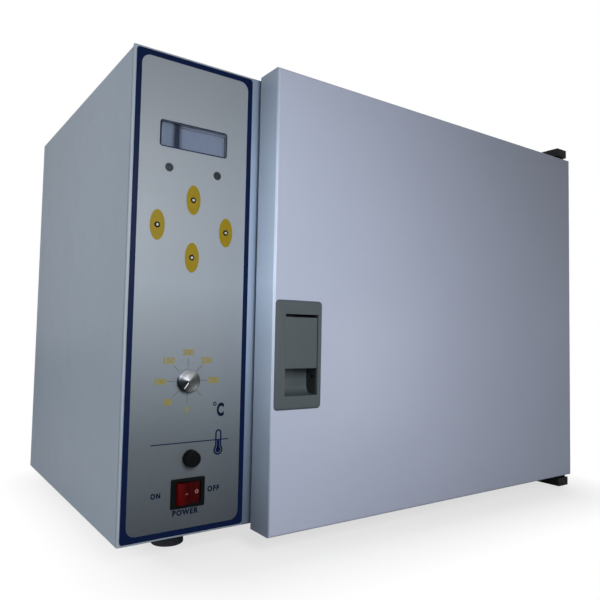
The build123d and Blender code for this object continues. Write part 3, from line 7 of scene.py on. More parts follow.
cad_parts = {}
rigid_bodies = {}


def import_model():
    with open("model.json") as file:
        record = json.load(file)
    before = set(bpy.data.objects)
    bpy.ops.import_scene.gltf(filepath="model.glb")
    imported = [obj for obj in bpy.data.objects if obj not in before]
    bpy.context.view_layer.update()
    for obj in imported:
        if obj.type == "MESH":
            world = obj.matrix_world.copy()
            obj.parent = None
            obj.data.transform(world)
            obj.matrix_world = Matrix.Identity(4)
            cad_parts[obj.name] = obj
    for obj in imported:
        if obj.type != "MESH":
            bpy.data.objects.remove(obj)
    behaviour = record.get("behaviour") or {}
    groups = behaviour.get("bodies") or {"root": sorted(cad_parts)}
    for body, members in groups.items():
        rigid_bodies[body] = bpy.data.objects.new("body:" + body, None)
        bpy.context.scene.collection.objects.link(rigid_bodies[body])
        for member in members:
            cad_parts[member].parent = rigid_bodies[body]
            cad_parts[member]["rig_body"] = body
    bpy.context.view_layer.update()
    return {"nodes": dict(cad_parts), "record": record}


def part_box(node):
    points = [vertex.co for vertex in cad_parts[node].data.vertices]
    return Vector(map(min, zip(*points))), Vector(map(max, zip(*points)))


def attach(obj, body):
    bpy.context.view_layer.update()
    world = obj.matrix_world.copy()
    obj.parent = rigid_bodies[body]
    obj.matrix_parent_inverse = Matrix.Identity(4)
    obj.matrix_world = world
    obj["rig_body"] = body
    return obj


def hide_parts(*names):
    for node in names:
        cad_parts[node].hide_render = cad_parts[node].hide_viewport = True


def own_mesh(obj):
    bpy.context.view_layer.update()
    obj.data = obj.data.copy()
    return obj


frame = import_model()
nodes = frame["nodes"]
print("frame loaded,", len(nodes), "nodes")

mm = 0.001
fullTurn = 2 * math.pi
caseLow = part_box("outer_wrap")[0]
caseLeft, caseBottom = caseLow.x, caseLow.z
overlayLow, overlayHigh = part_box("control_overlay")
overlayFront = overlayLow.y
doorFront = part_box("door_shell")[0].y


# the photograph's view, solved from the corners of the case and the door
cameraSetup = {
    "place": (-0.4585, -0.6425, 0.1971),
    "yaw": 34.88,          # degrees to the right of straight back
    "pitch": 3.2,          # degrees above level
    "roll": 1.15,
    "lens": 35.49,
    "sensor": 36.0,
    "nearest": 0.01,
}


def placeCamera(setup):
    yaw, pitch, roll = (math.radians(setup[key]) for key in ("yaw", "pitch", "roll"))
    forward = Vector((math.sin(yaw) * math.cos(pitch), math.cos(yaw) * math.cos(pitch),
                      math.sin(pitch)))
    level = Vector((math.cos(yaw), -math.sin(yaw), 0))
    upright = level.cross(forward)
    right = level * math.cos(roll) + upright * math.sin(roll)
    up = upright * math.cos(roll) - level * math.sin(roll)
    data = bpy.data.cameras.new("photoCamera")
    data.sensor_fit = "HORIZONTAL"
    data.sensor_width = setup["sensor"]
    data.lens = setup["lens"]
    data.clip_start = setup["nearest"]
    camera = bpy.data.objects.new("photoCamera", data)
    bpy.context.scene.collection.objects.link(camera)
    turn = Matrix((right, up, -forward)).transposed().to_4x4()
    camera.matrix_world = Matrix.Translation(setup["place"]) @ turn
    bpy.context.scene.camera = camera


placeCamera(cameraSetup)
print("camera placed")


class Value:
    # one shader socket that can stand in a sum
    def __init__(self, graph, socket):
        self.graph = graph
        self.socket = socket

    def __add__(self, other):
        return self.graph.maths("ADD", self, other)

    def __radd__(self, other):
        return self.graph.maths("ADD", other, self)

    def __sub__(self, other):
        return self.graph.maths("SUBTRACT", self, other)

    def __rsub__(self, other):
        return self.graph.maths("SUBTRACT", other, self)

    def __mul__(self, other):
        return self.graph.maths("MULTIPLY", self, other)

    def __rmul__(self, other):
        return self.graph.maths("MULTIPLY", other, self)

    def __truediv__(self, other):
        return self.graph.maths("DIVIDE", self, other)

    def __rtruediv__(self, other):
        return self.graph.maths("DIVIDE", other, self)


class Graph:
    # a node tree, and the one way in which nodes are added to it
    def __init__(self, tree):
        self.tree = tree

    def feed(self, socket, value):
        if isinstance(value, Value):
            self.tree.links.new(value.socket, socket)
        elif isinstance(value, tuple) and len(value) == 3 and socket.type == "RGBA":
            socket.default_value = (*value, 1.0)
        else:
            socket.default_value = value

    def node(self, kind, settings, inputs, out=0):
        made = self.tree.nodes.new(kind)
        for key, value in settings.items():
            if key == "stops":
                ramp = made.color_ramp
                while len(ramp.elements) < len(value):
                    ramp.elements.new(1.0)
                for element, (place, shade) in zip(ramp.elements, value):
                    element.position = place
                    element.color = (*shade, 1.0)
            else:
                setattr(made, key, value)
        for key, value in inputs.items():
            self.feed(made.inputs[key], value)
        return Value(self, made.outputs[out])

    def maths(self, operation, first, second=0.0):
        return self.node("ShaderNodeMath", {"operation": operation}, {0: first, 1: second})

    def range(self, value, low, high, outLow, outHigh):
        inputs = {"Value": value, "From Min": low, "From Max": high,
                  "To Min": outLow, "To Max": outHigh}
        return self.node("ShaderNodeMapRange", {"clamp": True}, inputs)

    def distance(self, across, up):
        return self.maths("SQRT", across * across + up * up)

    def ray(self, kind):
        # 1 for rays of this kind, 0 for others
        return self.node("ShaderNodeLightPath", {}, {}, kind)


class Finish(Graph):
    # one material: constants go on the shader, the rest is joined to it
    def __init__(self, name, fixed):
        self.material = bpy.data.materials.new(name)
        self.material.use_nodes = True
        super().__init__(self.material.node_tree)
        self.shader = self.tree.nodes["Principled BSDF"]
        for socket, value in fixed.items():
            self.set(socket, value)

    def set(self, socket, value):
        self.feed(self.shader.inputs[socket], value)

    def place(self):
        return self.node("ShaderNodeTexCoord", {}, {}, "Object")

    def along(self, axis):
        return self.node("ShaderNodeSeparateXYZ", {}, {0: self.place()}, axis)

    def fromLeft(self):
        # millimetres from the case's left side
        return (self.along("X") - caseLeft) / mm

    def upStrip(self):
        # share of the control strip's height
        return self.range(self.along("Z"), overlayLow.z, overlayHigh.z, 0.0, 1.0)

    def stretched(self, scale):
        return self.node("ShaderNodeMapping", {}, {"Vector": self.place(), "Scale": scale})

    def noise(self, scale, detail, rough=0.55, where=None):
        inputs = {"Scale": scale, "Detail": detail, "Roughness": rough,
                  "Vector": where or self.place()}
        return self.node("ShaderNodeTexNoise", {}, inputs)

    def ramp(self, stops, value):
        return self.node("ShaderNodeValToRGB", {"stops": stops}, {0: value})

    def mix(self, mask, first, second):
        return self.node("ShaderNodeMix", {"data_type": "RGBA"}, {0: mask, 6: first, 7: second}, 2)

    def shades(self, mask, colour, pair):
        return self.mix(mask, shaded(colour, pair[0]), shaded(colour, pair[1]))

    def satin(self, mask, least, most, span=(0.3, 0.7)):
        # the roughness goes from least to most while the mask goes over its span
        self.set("Roughness", self.range(mask, *span, least, most))

    def relief(self, height, strength, depth):
        inputs = {"Height": height, "Strength": strength, "Distance": depth}
        self.set("Normal", self.node("ShaderNodeBump", {}, inputs))


def shaded(colour, factor):
    return tuple(part * factor for part in colour)


# In the dictionaries of the finishes, fixed holds the shader's constants, a noise is its scale,
# detail and roughness, a relief is its strength and its depth in metres, and shades are shares
# of the finish's colour. Rough is the least and the most roughness, or smoother and rougher say
# how far these lie from the finish's own. Span is where the noise takes it from least to most.

steelPaint = {
    "fixed": {"Specular IOR Level": 0.5, "Coat Roughness": 0.25},
    "drift": (7.0, 2.0),
    "driftShades": (0.965, 1.035),
    "marks": (38.0, 4.0, 0.6),
    "smudged": (0.56, 0.75),   # where the marks begin to show, and where they show in full
    "smudgeCover": 0.35,
    "smudgeShade": 0.93,
    "smoother": 0.03,
    "rougher": 0.07,
    "span": (0.3, 0.8),
    "peel": (900.0, 2.0, 0.5),
    "relief": (0.10, 0.0004),
}
# painted light and shade on two narrow faces, the paint's tone changing with height: their reach
# in millimetres from the case's left side, and shares of the paint's colour from bottom to top
stripPaintedShade = {
    "from": (114.0, 114.5), "to": (122.5, 123.5), "tint": (0.90, 0.98, 1.13),
    "stops": [(0.0, 0.38), (0.075, 0.44), (0.167, 0.56), (0.26, 0.66), (0.35, 0.86),
              (0.44, 1.02), (0.60, 1.06), (0.81, 1.0), (0.90, 0.82), (1.0, 0.78)],
}
doorEdgePaintedLightAndShade = {
    "from": (-1.0, 0.0), "to": (121.6, 123.0), "tint": (0.93, 1.04, 1.04),
    "stops": [(0.0, 0.45), (0.06, 0.58), (0.12, 0.70), (0.20, 0.82), (0.28, 1.0), (0.40, 1.2),
              (0.53, 1.62), (0.62, 1.50), (0.72, 1.38), (0.82, 1.18), (0.90, 0.97), (1.0, 0.80)],
}


def paintedShadingByHeight(paint, tone, colour, paintedLightAndShade):
    # the tone outside the narrow face, and on it the painted light and shade, a ramp that goes up
    # with the height
    tinted = tuple(part * share for part, share in zip(colour, paintedLightAndShade["tint"]))
    stops = [(level, shaded(tinted, share)) for level, share in paintedLightAndShade["stops"]]
    fromLeft = paint.fromLeft()
    onFace = (paint.range(fromLeft, *paintedLightAndShade["from"], 0.0, 1.0)
              * paint.range(fromLeft, *paintedLightAndShade["to"], 1.0, 0.0))
    return paint.mix(onFace, tone, paint.ramp(stops, paint.upStrip()))


def paintedSteel(name, colour, rough, sheen, paintedLightAndShade=None):
    # powder coat: fine orange peel, a little tone drift and faint handling marks
    look = steelPaint
    paint = Finish(name, {**look["fixed"], "Coat Weight": sheen})
    tone = paint.shades(paint.noise(*look["drift"]), colour, look["driftShades"])
    marks = paint.noise(*look["marks"])
    smudge = paint.range(marks, *look["smudged"], 0.0, look["smudgeCover"])
    tone = paint.mix(smudge, tone, shaded(colour, look["smudgeShade"]))
    # painted light and shade on a narrow face, when one is given
    if paintedLightAndShade:
        tone = paintedShadingByHeight(paint, tone, colour, paintedLightAndShade)
    paint.set("Base Color", tone)
    paint.satin(marks, rough - look["smoother"], rough + look["rougher"], look["span"])
    paint.relief(paint.noise(*look["peel"]), *look["relief"])
    return paint.material


metalSurface = {
    "fixed": {"Metallic": 1.0},
    "even": (160.0, 4.0, 0.6),
    "brushed": (1.0, 4.0, 0.6),      # of space stretched along the brushing
    "shades": (0.90, 1.08),
    "cloud": (18.0, 3.0),
    "cloudCover": 0.4,
    "cloudShade": 0.86,
    "smoother": 0.06,
    "rougher": 0.10,
    "span": (0.25, 0.75),
    "depth": 0.0002,
}


def bareMetal(name, colour, rough, grain=None, relief=0.12):
    # grain is the stretch of the brushing marks along x, y and z
    look = metalSurface
    metal = Finish(name, look["fixed"])
    if grain:
        lines = metal.noise(*look["brushed"], metal.stretched(grain))
    else:
        lines = metal.noise(*look["even"])
    tone = metal.shades(lines, colour, look["shades"])
    cloud = metal.noise(*look["cloud"]) * look["cloudCover"]
    metal.set("Base Color", metal.mix(cloud, tone, shaded(colour, look["cloudShade"])))
    metal.satin(lines, rough - look["smoother"], rough + look["rougher"], look["span"])
    metal.relief(lines, relief, look["depth"])
    return metal.material


plasticSurface = {
    "cloud": (26.0, 3.0),
    "shades": (0.90, 1.10),
    "smoother": 0.04,
    "rougher": 0.08,
    "speck": (2.0, 0.5),             # detail and roughness, its scale is the texture
    "relief": (0.10, 0.0002),
}


def mouldedPlastic(name, colour, rough, texture=420.0, shine=0.45):
    look = plasticSurface
    plastic = Finish(name, {"Specular IOR Level": shine})
    cloud = plastic.noise(*look["cloud"])
    plastic.set("Base Color", plastic.shades(cloud, colour, look["shades"]))
    plastic.satin(cloud, rough - look["smoother"], rough + look["rougher"])
    plastic.relief(plastic.noise(texture, *look["speck"]), *look["relief"])
    return plastic.material


# sizes on the control strip are millimetres from the case's left bottom corner
keyPrint = {
    "spots": {"top": (57.4, 293.1), "left": (24.6, 267.4),
              "right": (90.2, 267.4), "bottom": (57.4, 241.7)},
    "oval": (6.75, 13.25),
    "hole": (2.6, 2.6),
}
keyTip = {
    "fixed": {"Specular IOR Level": 0.35},
    "cloud": (300.0, 2.0),
    "tones": ((0.28, 0.28, 0.26), (0.45, 0.45, 0.42)),
    "rim": (0.9, 1.5),               # millimetres from the middle, where the pale tip turns dark
    "rimTone": (0.02, 0.018, 0.012),
    "rough": (0.3, 0.42),
}


def keyPlunger():
    # pale domed tips inside a dark rim, one round each key's middle
    tip = Finish("keyTip", keyTip["fixed"])
    fromLeft = tip.fromLeft()
    height = (tip.along("Z") - caseBottom) / mm
    reaches = [tip.distance(fromLeft - x, height - z) for x, z in keyPrint["spots"].values()]
    nearest = reaches[0]
    for reach in reaches[1:]:
        nearest = tip.maths("MINIMUM", nearest, reach)
    cloud = tip.noise(*keyTip["cloud"])
    rim = tip.range(nearest, *keyTip["rim"], 0.0, 1.0)
    tip.set("Base Color", tip.mix(rim, tip.mix(cloud, *keyTip["tones"]), keyTip["rimTone"]))
    tip.satin(cloud, *keyTip["rough"])
    return tip.material


rockerPaintedHighlight = {
    "fixed": {"Specular IOR Level": 0.06, "Coat Weight": 0.02, "Coat Roughness": 0.2},
    # where the painted highlight fades from the left tip to none
    "reach": (50.0, 58.5),           # millimetres from the case's left side
    "cloud": (60.0, 2.0),
    "uneven": (0.3, 0.85),           # the cloud's share, and what it is added to
    "deep": (0.034, 0.0006, 0.0008),
    "bright": (0.085, 0.0012, 0.0012),
    "rough": (0.26, 0.36),
}


def redRocker():
    # red moulding with a painted highlight towards its left tip, deep red over the pivot
    red = Finish("redPlastic", rockerPaintedHighlight["fixed"])
    cloud = red.noise(*rockerPaintedHighlight["cloud"])
    share, base = rockerPaintedHighlight["uneven"]
    paintedHighlight = red.range(red.fromLeft(), *rockerPaintedHighlight["reach"], 1.0, 0.0) * (cloud * share + base)
    red.set("Base Color", red.mix(paintedHighlight, rockerPaintedHighlight["deep"], rockerPaintedHighlight["bright"]))
    red.satin(cloud, *rockerPaintedHighlight["rough"])
    return red.material


latchTones = {
    "fixed": {"Specular IOR Level": 0.4},
    "grey": ((0.047, 0.060, 0.068), (0.056, 0.072, 0.081)),
    "cloud": (26.0, 3.0),
    "rough": (0.44, 0.56),
    "grain": (700.0, 2.0, 0.5),
    "relief": (0.16, 0.0002),
    # where shade is painted: on the recess's right wall, deeper than the door's face
    "recessWall": (170.0, 170.4),    # millimetres from the case's left side
    "recessDepth": (0.5, 2.5),       # and behind the door's face
    "recessPaintedShade": (0.016, 0.022, 0.023),
}


def latchPlastic():
    # grey moulding, with painted shade on the wall that shuts the finger recess on the right
    plastic = Finish("latchPlastic", latchTones["fixed"])
    cloud = plastic.noise(*latchTones["cloud"])
    depth = (plastic.along("Y") - doorFront) / mm
    shade = (plastic.range(plastic.fromLeft(), *latchTones["recessWall"], 0.0, 1.0)
             * plastic.range(depth, *latchTones["recessDepth"], 0.0, 1.0))
    tone = plastic.mix(cloud, *latchTones["grey"])
    plastic.set("Base Color", plastic.mix(shade, tone, latchTones["recessPaintedShade"]))
    plastic.satin(cloud, *latchTones["rough"])
    plastic.relief(plastic.noise(*latchTones["grain"]), *latchTones["relief"])
    return plastic.material


inkCover = {"noise": (240.0, 3.0), "shades": (0.92, 1.06), "rough": (0.36, 0.46)}


def printedInk(name, colour, shine=0.3):
    ink = Finish(name, {"Specular IOR Level": shine})
    cover = ink.noise(*inkCover["noise"])
    ink.set("Base Color", ink.shades(cover, colour, inkCover["shades"]))
    ink.satin(cover, *inkCover["rough"])
    return ink.material


silverFilm = {
    "fixed": {"Metallic": 0.08, "Specular IOR Level": 0.22, "Coat Weight": 0.02,
              "Coat Roughness": 0.3},
    # the silver's tone from the film's lower to its upper edge, with a painted reflection: dark
    # towards the bottom, brightest a little above the middle
    "stops": [
        (0.0, (0.028, 0.040, 0.052)),
        (0.19, (0.080, 0.101, 0.119)),
        (0.30, (0.138, 0.168, 0.197)),
        (0.41, (0.192, 0.226, 0.262)),
        (0.52, (0.239, 0.281, 0.324)),
        (0.65, (0.236, 0.268, 0.306)),
        (0.82, (0.219, 0.249, 0.284)),
        (1.0, (0.200, 0.228, 0.256)),
    ],
    "sparkle": (2600.0, 1.0, 0.4),
    "sparkleTone": (0.5, 0.5, 0.5),
    "sparkleCover": 0.1,
    "cloud": (9.0, 3.0),
    "cloudTone": (0.075, 0.085, 0.095),
    "cloudCover": 0.08,
    "rough": (0.46, 0.54),
    "relief": (0.05, 0.0001),
}


def filmOverlay():
    # silver-printed film: a faint metallic sparkle under a satin surface, with a painted
    # reflection in its tone
    look = silverFilm
    film = Finish("silverFilm", look["fixed"])
    sparkle = film.noise(*look["sparkle"])
    cloud = film.noise(*look["cloud"])
    silver = film.ramp(look["stops"], film.upStrip())
    tone = film.mix(sparkle * look["sparkleCover"], silver, look["sparkleTone"])
    film.set("Base Color", film.mix(cloud * look["cloudCover"], tone, look["cloudTone"]))
    film.satin(cloud, *look["rough"])
    film.relief(sparkle, *look["relief"])
    return film.material


woolBatt = {
    "fixed": {"Sheen Weight": 0.3, "Roughness": 0.95},
    "stretch": (900.0, 260.0, 900.0),
    "fibres": (1.0, 6.0, 0.7),
    "fibreTones": ((0.42, 0.36, 0.16), (0.72, 0.66, 0.38)),
    "clumps": (60.0, 4.0),
    "clumpTone": (0.50, 0.45, 0.24),
    "clumpCover": 0.5,
    "relief": (0.6, 0.002),
}


def mineralWool():
    look = woolBatt
    wool = Finish("mineralWool", look["fixed"])
    fibres = wool.noise(*look["fibres"], wool.stretched(look["stretch"]))
    clumps = wool.noise(*look["clumps"]) * look["clumpCover"]
    tone = wool.mix(fibres, *look["fibreTones"])
    wool.set("Base Color", wool.mix(clumps, tone, look["clumpTone"]))
    wool.relief(fibres, *look["relief"])
    return wool.material


rubberSurface = {
    "fixed": {"Specular IOR Level": 0.3},
    "dust": (70.0, 5.0, 0.65),
    "dustGain": 1.7,                 # what dust does to the rubber's colour
    "dustLift": 0.004,
    "smoother": 0.08,
    "rougher": 0.06,
    "pores": (1500.0, 2.0),
    "relief": (0.15, 0.0002),
}


def rubberGrip(name, colour, rough):
    look = rubberSurface
    rubber = Finish(name, look["fixed"])
    dust = rubber.noise(*look["dust"])
    dusty = tuple(part * look["dustGain"] + look["dustLift"] for part in colour)
    rubber.set("Base Color", rubber.mix(dust, colour, dusty))
    rubber.satin(dust, rough - look["smoother"], rough + look["rougher"])
    rubber.relief(rubber.noise(*look["pores"]), *look["relief"])
    return rubber.material


windowGlass = {
    "fixed": {"Transmission Weight": 1.0, "IOR": 1.30, "Specular IOR Level": 0.1},
    "smear": (34.0, 3.0),
    "tones": ((0.74, 0.80, 0.84), (0.80, 0.85, 0.88)),
    "rough": (0.02, 0.05),
    "span": (0.4, 0.8),
}


def clearGlass():
    glass = Finish("displayGlass", windowGlass["fixed"])
    smear = glass.noise(*windowGlass["smear"])
    glass.set("Base Color", glass.mix(smear, *windowGlass["tones"]))
    glass.satin(smear, *windowGlass["rough"], windowGlass["span"])
    return glass.material


displayModule = {
    "fixed": {"Specular IOR Level": 0.08},
    "bezelEnd": (36.0, 39.6),        # millimetres from the case's left side
    "bezelTone": (0.175, 0.205, 0.275),
    "edgeGasketAndShade": (0.0, 0.004, 0.032),
    "cellStart": (43.0, 47.5),
    "cellTones": ((0.195, 0.218, 0.305), (0.225, 0.25, 0.335)),
    "grid": (500.0, 1.0),
    "rough": (0.28, 0.4),
}


def displayFace():
    # a metal bezel, a dark band at its edge that is a black gasket with painted shade, and the
    # greyish-blue cell behind it
    look = displayModule
    face = Finish("displayFace", look["fixed"])
    fromLeft = face.fromLeft()
    bezel = face.range(fromLeft, *look["bezelEnd"], 1.0, 0.0)
    cell = face.range(fromLeft, *look["cellStart"], 0.0, 1.0)
    grid = face.noise(*look["grid"])
    tone = face.mix(cell, look["edgeGasketAndShade"], face.mix(grid, *look["cellTones"]))
    face.set("Base Color", face.mix(bezel, tone, look["bezelTone"]))
    face.satin(grid, *look["rough"])
    return face.material


boardSurface = {
    "fixed": {"Specular IOR Level": 0.6},
    "stretch": (2200.0, 2200.0, 300.0),
    "weave": (1.0, 2.0, 0.5),
    "green": ((0.010, 0.085, 0.035), (0.016, 0.12, 0.05)),
    "tracks": (170.0, 1.0),
    "trackEdge": (0.52, 0.54),
    "trackCover": 0.6,
    "trackTone": (0.03, 0.19, 0.07),
    "rough": (0.3, 0.42),
    "relief": (0.3, 0.0001),
}


def circuitBoard():
    look = boardSurface
    board = Finish("circuitBoard", look["fixed"])
    weave = board.noise(*look["weave"], board.stretched(look["stretch"]))
    tracks = board.noise(*look["tracks"])
    copper = board.range(tracks, *look["trackEdge"], 0.0, look["trackCover"])
    base = board.mix(weave, *look["green"])
    board.set("Base Color", board.mix(copper, base, look["trackTone"]))
    board.satin(weave, *look["rough"])
    board.relief(copper, *look["relief"])
    return board.material


turnedMetal = {
    "fixed": {"Metallic": 1.0},
    # painted sheen: bright and dark fans of reflection in the colour, once round from the knob's
    # left
    "sheen": [
        (0.0, (0.030, 0.035, 0.041)),
        (0.06, (0.010, 0.013, 0.015)),
        (0.15, (0.012, 0.015, 0.017)),
        (0.21, (0.030, 0.034, 0.035)),
        (0.33, (0.044, 0.049, 0.047)),
        (0.50, (0.040, 0.047, 0.043)),
        (0.58, (0.071, 0.081, 0.078)),
        (0.625, (0.174, 0.193, 0.190)),
        (0.665, (0.402, 0.421, 0.430)),
        (0.75, (0.415, 0.435, 0.445)),
        (0.83, (0.558, 0.589, 0.613)),
        (0.89, (0.640, 0.665, 0.730)),
        (0.917, (0.850, 0.870, 0.940)),
        (0.945, (0.480, 0.500, 0.540)),
        (0.965, (0.160, 0.175, 0.195)),
        (1.0, (0.030, 0.035, 0.041)),
    ],
    "rings": 21000.0,                # radians of wave for each metre of radius
    "scratch": (700.0, 3.0),
    "scratchTone": (0.45, 0.46, 0.46),
    "scratchCover": 0.03,
    "rough": (0.38, 0.50),
    "span": (0.0, 1.0),
    "relief": (0.25, 0.00008),
}


def turnedFace(centreX, centreZ):
    # spun metal: fine rings round the knob's axis, and a painted sheen of bright and dark fans in
    # its colour
    look = turnedMetal
    spun = Finish("spunMetal", look["fixed"])
    acrossX = spun.along("X") - centreX
    acrossZ = spun.along("Z") - centreZ
    turn = spun.maths("ARCTAN2", acrossZ, acrossX) / fullTurn + 0.5
    wave = spun.maths("SINE", spun.distance(acrossX, acrossZ) * look["rings"])
    rings = wave * 0.5 + 0.5
    scratch = spun.noise(*look["scratch"]) * look["scratchCover"]
    # the painted sheen, laid by angle round the knob's middle
    tone = spun.ramp(look["sheen"], turn)
    spun.set("Base Color", spun.mix(scratch, tone, look["scratchTone"]))
    spun.satin(rings, *look["rough"], look["span"])
    spun.relief(rings, *look["relief"])
    return spun.material


lampSurface = {
    "fixed": {"Specular IOR Level": 0.12, "Coat Weight": 0.02, "Coat Roughness": 0.2},
    "depth": (420.0, 2.0),
    "tones": ((0.016, 0.021, 0.026), (0.030, 0.038, 0.044)),
    "rough": (0.22, 0.34),
    "relief": (0.2, 0.0003),
}


def lampLens():
    lens = Finish("lampLens", lampSurface["fixed"])
    depth = lens.noise(*lampSurface["depth"])
    lens.set("Base Color", lens.mix(depth, *lampSurface["tones"]))
    lens.satin(depth, *lampSurface["rough"])
    lens.relief(depth, *lampSurface["relief"])
    return lens.material


heaterOxide = {
    "fixed": {"Metallic": 0.85},
    "along": (16.0, 3.0),
    "stops": [(0.30, (0.10, 0.085, 0.08)), (0.50, (0.22, 0.16, 0.12)),
              (0.70, (0.15, 0.15, 0.19))],
    "rough": (0.42, 0.6),
    "scale": (600.0, 3.0),
    "relief": (0.15, 0.0002),
}


def heatTintedTube():
    # sheathed element: oxide colours that change along the tube
    tube = Finish("heatTintedTube", heaterOxide["fixed"])
    along = tube.noise(*heaterOxide["along"])
    tube.set("Base Color", tube.ramp(heaterOxide["stops"], along))
    tube.satin(along, *heaterOxide["rough"])
    tube.relief(tube.noise(*heaterOxide["scale"]), *heaterOxide["relief"])
    return tube.material


caseTone = (0.262, 0.316, 0.380)
doorTone = (0.345, 0.382, 0.488)
knobLow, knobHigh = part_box("thermostat_knob")

# one for each material slot
finishes = {
    "case_paint": paintedSteel("casePaint", caseTone, rough=0.42, sheen=0.15),
    "door_paint": paintedSteel("doorPaint", doorTone, rough=0.38, sheen=0.22,
                               paintedLightAndShade=doorEdgePaintedLightAndShade),
    "black_paint": mouldedPlastic("blackPaint", (0.010, 0.011, 0.012), rough=0.42,
                                  texture=900.0, shine=0.25),
    "zinc_sheet": bareMetal("zincSheet", (0.52, 0.54, 0.56), rough=0.42, relief=0.2),
    "stainless": bareMetal("brushedStainless", (0.56, 0.56, 0.57), rough=0.30,
                           grain=(18.0, 900.0, 900.0), relief=0.1),
    "bright_wire": bareMetal("brightWire", (0.75, 0.75, 0.76), rough=0.14, relief=0.05),
    "spun_metal": turnedFace((knobLow.x + knobHigh.x) / 2, (knobLow.z + knobHigh.z) / 2),
    "fastener_steel": bareMetal("screwSteel", (0.55, 0.55, 0.57), rough=0.30, relief=0.1),
    "spindle_steel": bareMetal("pinSteel", (0.50, 0.50, 0.52), rough=0.26, relief=0.08),
    "brass_parts": bareMetal("brassParts", (0.72, 0.52, 0.20), rough=0.30, relief=0.08),
    "overlay_film": filmOverlay(),
    "clear_lens": clearGlass(),
    "display_black": displayFace(),
    "lamp_lens": lampLens(),
    "key_tip": keyPlunger(),
    "black_plastic": mouldedPlastic("blackPlastic", (0.0022, 0.0026, 0.003), rough=0.34,
                                    shine=0.08),
    "red_plastic": redRocker(),
    "latch_plastic": latchPlastic(),
    "board": circuitBoard(),
    "white_plastic": mouldedPlastic("whitePlastic", (0.68, 0.67, 0.62), rough=0.45),
    "foot_rubber": rubberGrip("footRubber", (0.026, 0.029, 0.038), rough=0.7),
    "gasket_rubber": rubberGrip("gasketRubber", (0.34, 0.055, 0.03), rough=0.6),
    "mineral_wool": mineralWool(),
    "wire_sleeve": mouldedPlastic("wireSleeve", (0.02, 0.02, 0.024), rough=0.4),
}
extraFinishes = {
    "stripShadedPaint": paintedSteel("stripShadedPaint", caseTone, rough=0.42, sheen=0.15, paintedLightAndShade=stripPaintedShade),
    "navy": printedInk("navyInk", (0.0026, 0.0085, 0.040), shine=0.05),
    "label": printedInk("labelInk", (0.0020, 0.0050, 0.021), shine=0.05),
    "mustard": printedInk("mustardInk", (0.225, 0.163, 0.005), shine=0.1),
    "scaleMustard": printedInk("scaleInk", (0.225, 0.190, 0.045), shine=0.15),
    "tickGrey": printedInk("tickInk", (0.075, 0.08, 0.05)),
    "paleMark": printedInk("paleInk", (0.24, 0.10, 0.10)),
    "pointer": mouldedPlastic("pointerPaint", (0.62, 0.62, 0.60), rough=0.4),
    "heater": heatTintedTube(),
}
slotOf = {part["node"]: part["material_slot"] for part in frame["record"]["subparts"]}
for name, thing in nodes.items():
    thing.data.materials.clear()
    thing.data.materials.append(finishes[slotOf[name]])
nodes["heater_element"].data.materials[0] = extraFinishes["heater"]
# the front frame's paint carries painted shade on the strip between the overlay and the door
nodes["front_frame"].data.materials[0] = extraFinishes["stripShadedPaint"]
print("materials made,", len(finishes) + len(extraFinishes))


# from millimetres on the control strip, seen from the front, to the frame's metres
toPanel = (Matrix.Translation((caseLeft, overlayFront, caseBottom))
           @ Matrix.Rotation(math.radians(90), 4, "X") @ Matrix.Scale(mm, 4))
smoothAngle = math.radians(35)
weld = 0.001               # millimetres within which vertices become one


def finishPiece(name, bm, material, body, replaced=()):
    bmesh.ops.recalc_face_normals(bm, faces=bm.faces)
    mesh = bpy.data.meshes.new(name)
    bm.to_mesh(mesh)
    bm.free()
    mesh.materials.append(material)
    for face in mesh.polygons:
        face.use_smooth = True
    mesh.set_sharp_from_angle(angle=smoothAngle)
    piece = bpy.data.objects.new(name, mesh)
    bpy.context.scene.collection.objects.link(piece)
    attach(piece, body)
    if replaced:
        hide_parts(*replaced)
    return piece


def mergedCopy(node):
    # a node's mesh is loose triangles, so its doubles are merged
    bm = bmesh.new()
    bm.from_mesh(nodes[node].data)
    bmesh.ops.remove_doubles(bm, verts=bm.verts, dist=weld * mm)
    return bm


def moved(bm, verts, place, size=(1, 1)):
    # flat shapes are made at unit size round the origin
    bmesh.ops.scale(bm, vec=(size[0], size[1], 1), verts=verts)
    bmesh.ops.translate(bm, vec=(place[0], place[1], 0), verts=verts)


def flatShape(bm, centre, size, corner, segments=8):
    # a rounded rectangle in the panel's plane
    made = bmesh.ops.create_grid(bm, x_segments=1, y_segments=1, size=0.5)["verts"]
    moved(bm, made, centre, size)
    bmesh.ops.bevel(bm, geom=made, offset=corner, offset_type="OFFSET", affect="VERTICES",
                    segments=segments, profile=0.5, clamp_overlap=True, material=-1)


def flatRing(bm, centre, outer, outerCorner, inner, innerCorner, segments=8):
    # the band between two rounded rectangles
    edges = []
    for size, corner in ((outer, outerCorner), (inner, innerCorner)):
        before = set(bm.faces)
        flatShape(bm, centre, size, corner, segments)
        face = next(face for face in bm.faces if face not in before)
        edges += list(face.edges)
        bmesh.ops.delete(bm, geom=[face], context="FACES_ONLY")
    bmesh.ops.bridge_loops(bm, edges=edges)


def flatOval(bm, centre, radii, hole, segments=48):
    # an ellipse with a round hole in the middle
    loops = []
    for reach in (radii, hole):
        made = bmesh.ops.create_circle(bm, cap_ends=False, segments=segments, radius=1.0)["verts"]
        moved(bm, made, centre, reach)
        loops += [edge for edge in bm.edges if all(vert in made for vert in edge.verts)]
    bmesh.ops.bridge_loops(bm, edges=loops)


def flatLine(bm, start, end, width):
    run = Vector(end) - Vector(start)
    middle = (Vector(start) + Vector(end)) / 2
    made = bmesh.ops.create_grid(bm, x_segments=1, y_segments=1, size=0.5)["verts"]
    bmesh.ops.scale(bm, vec=(run.length, width, 1), verts=made)
    bmesh.ops.rotate(bm, matrix=Matrix.Rotation(math.atan2(run.y, run.x), 3, "Z"), verts=made)
    moved(bm, made, middle)


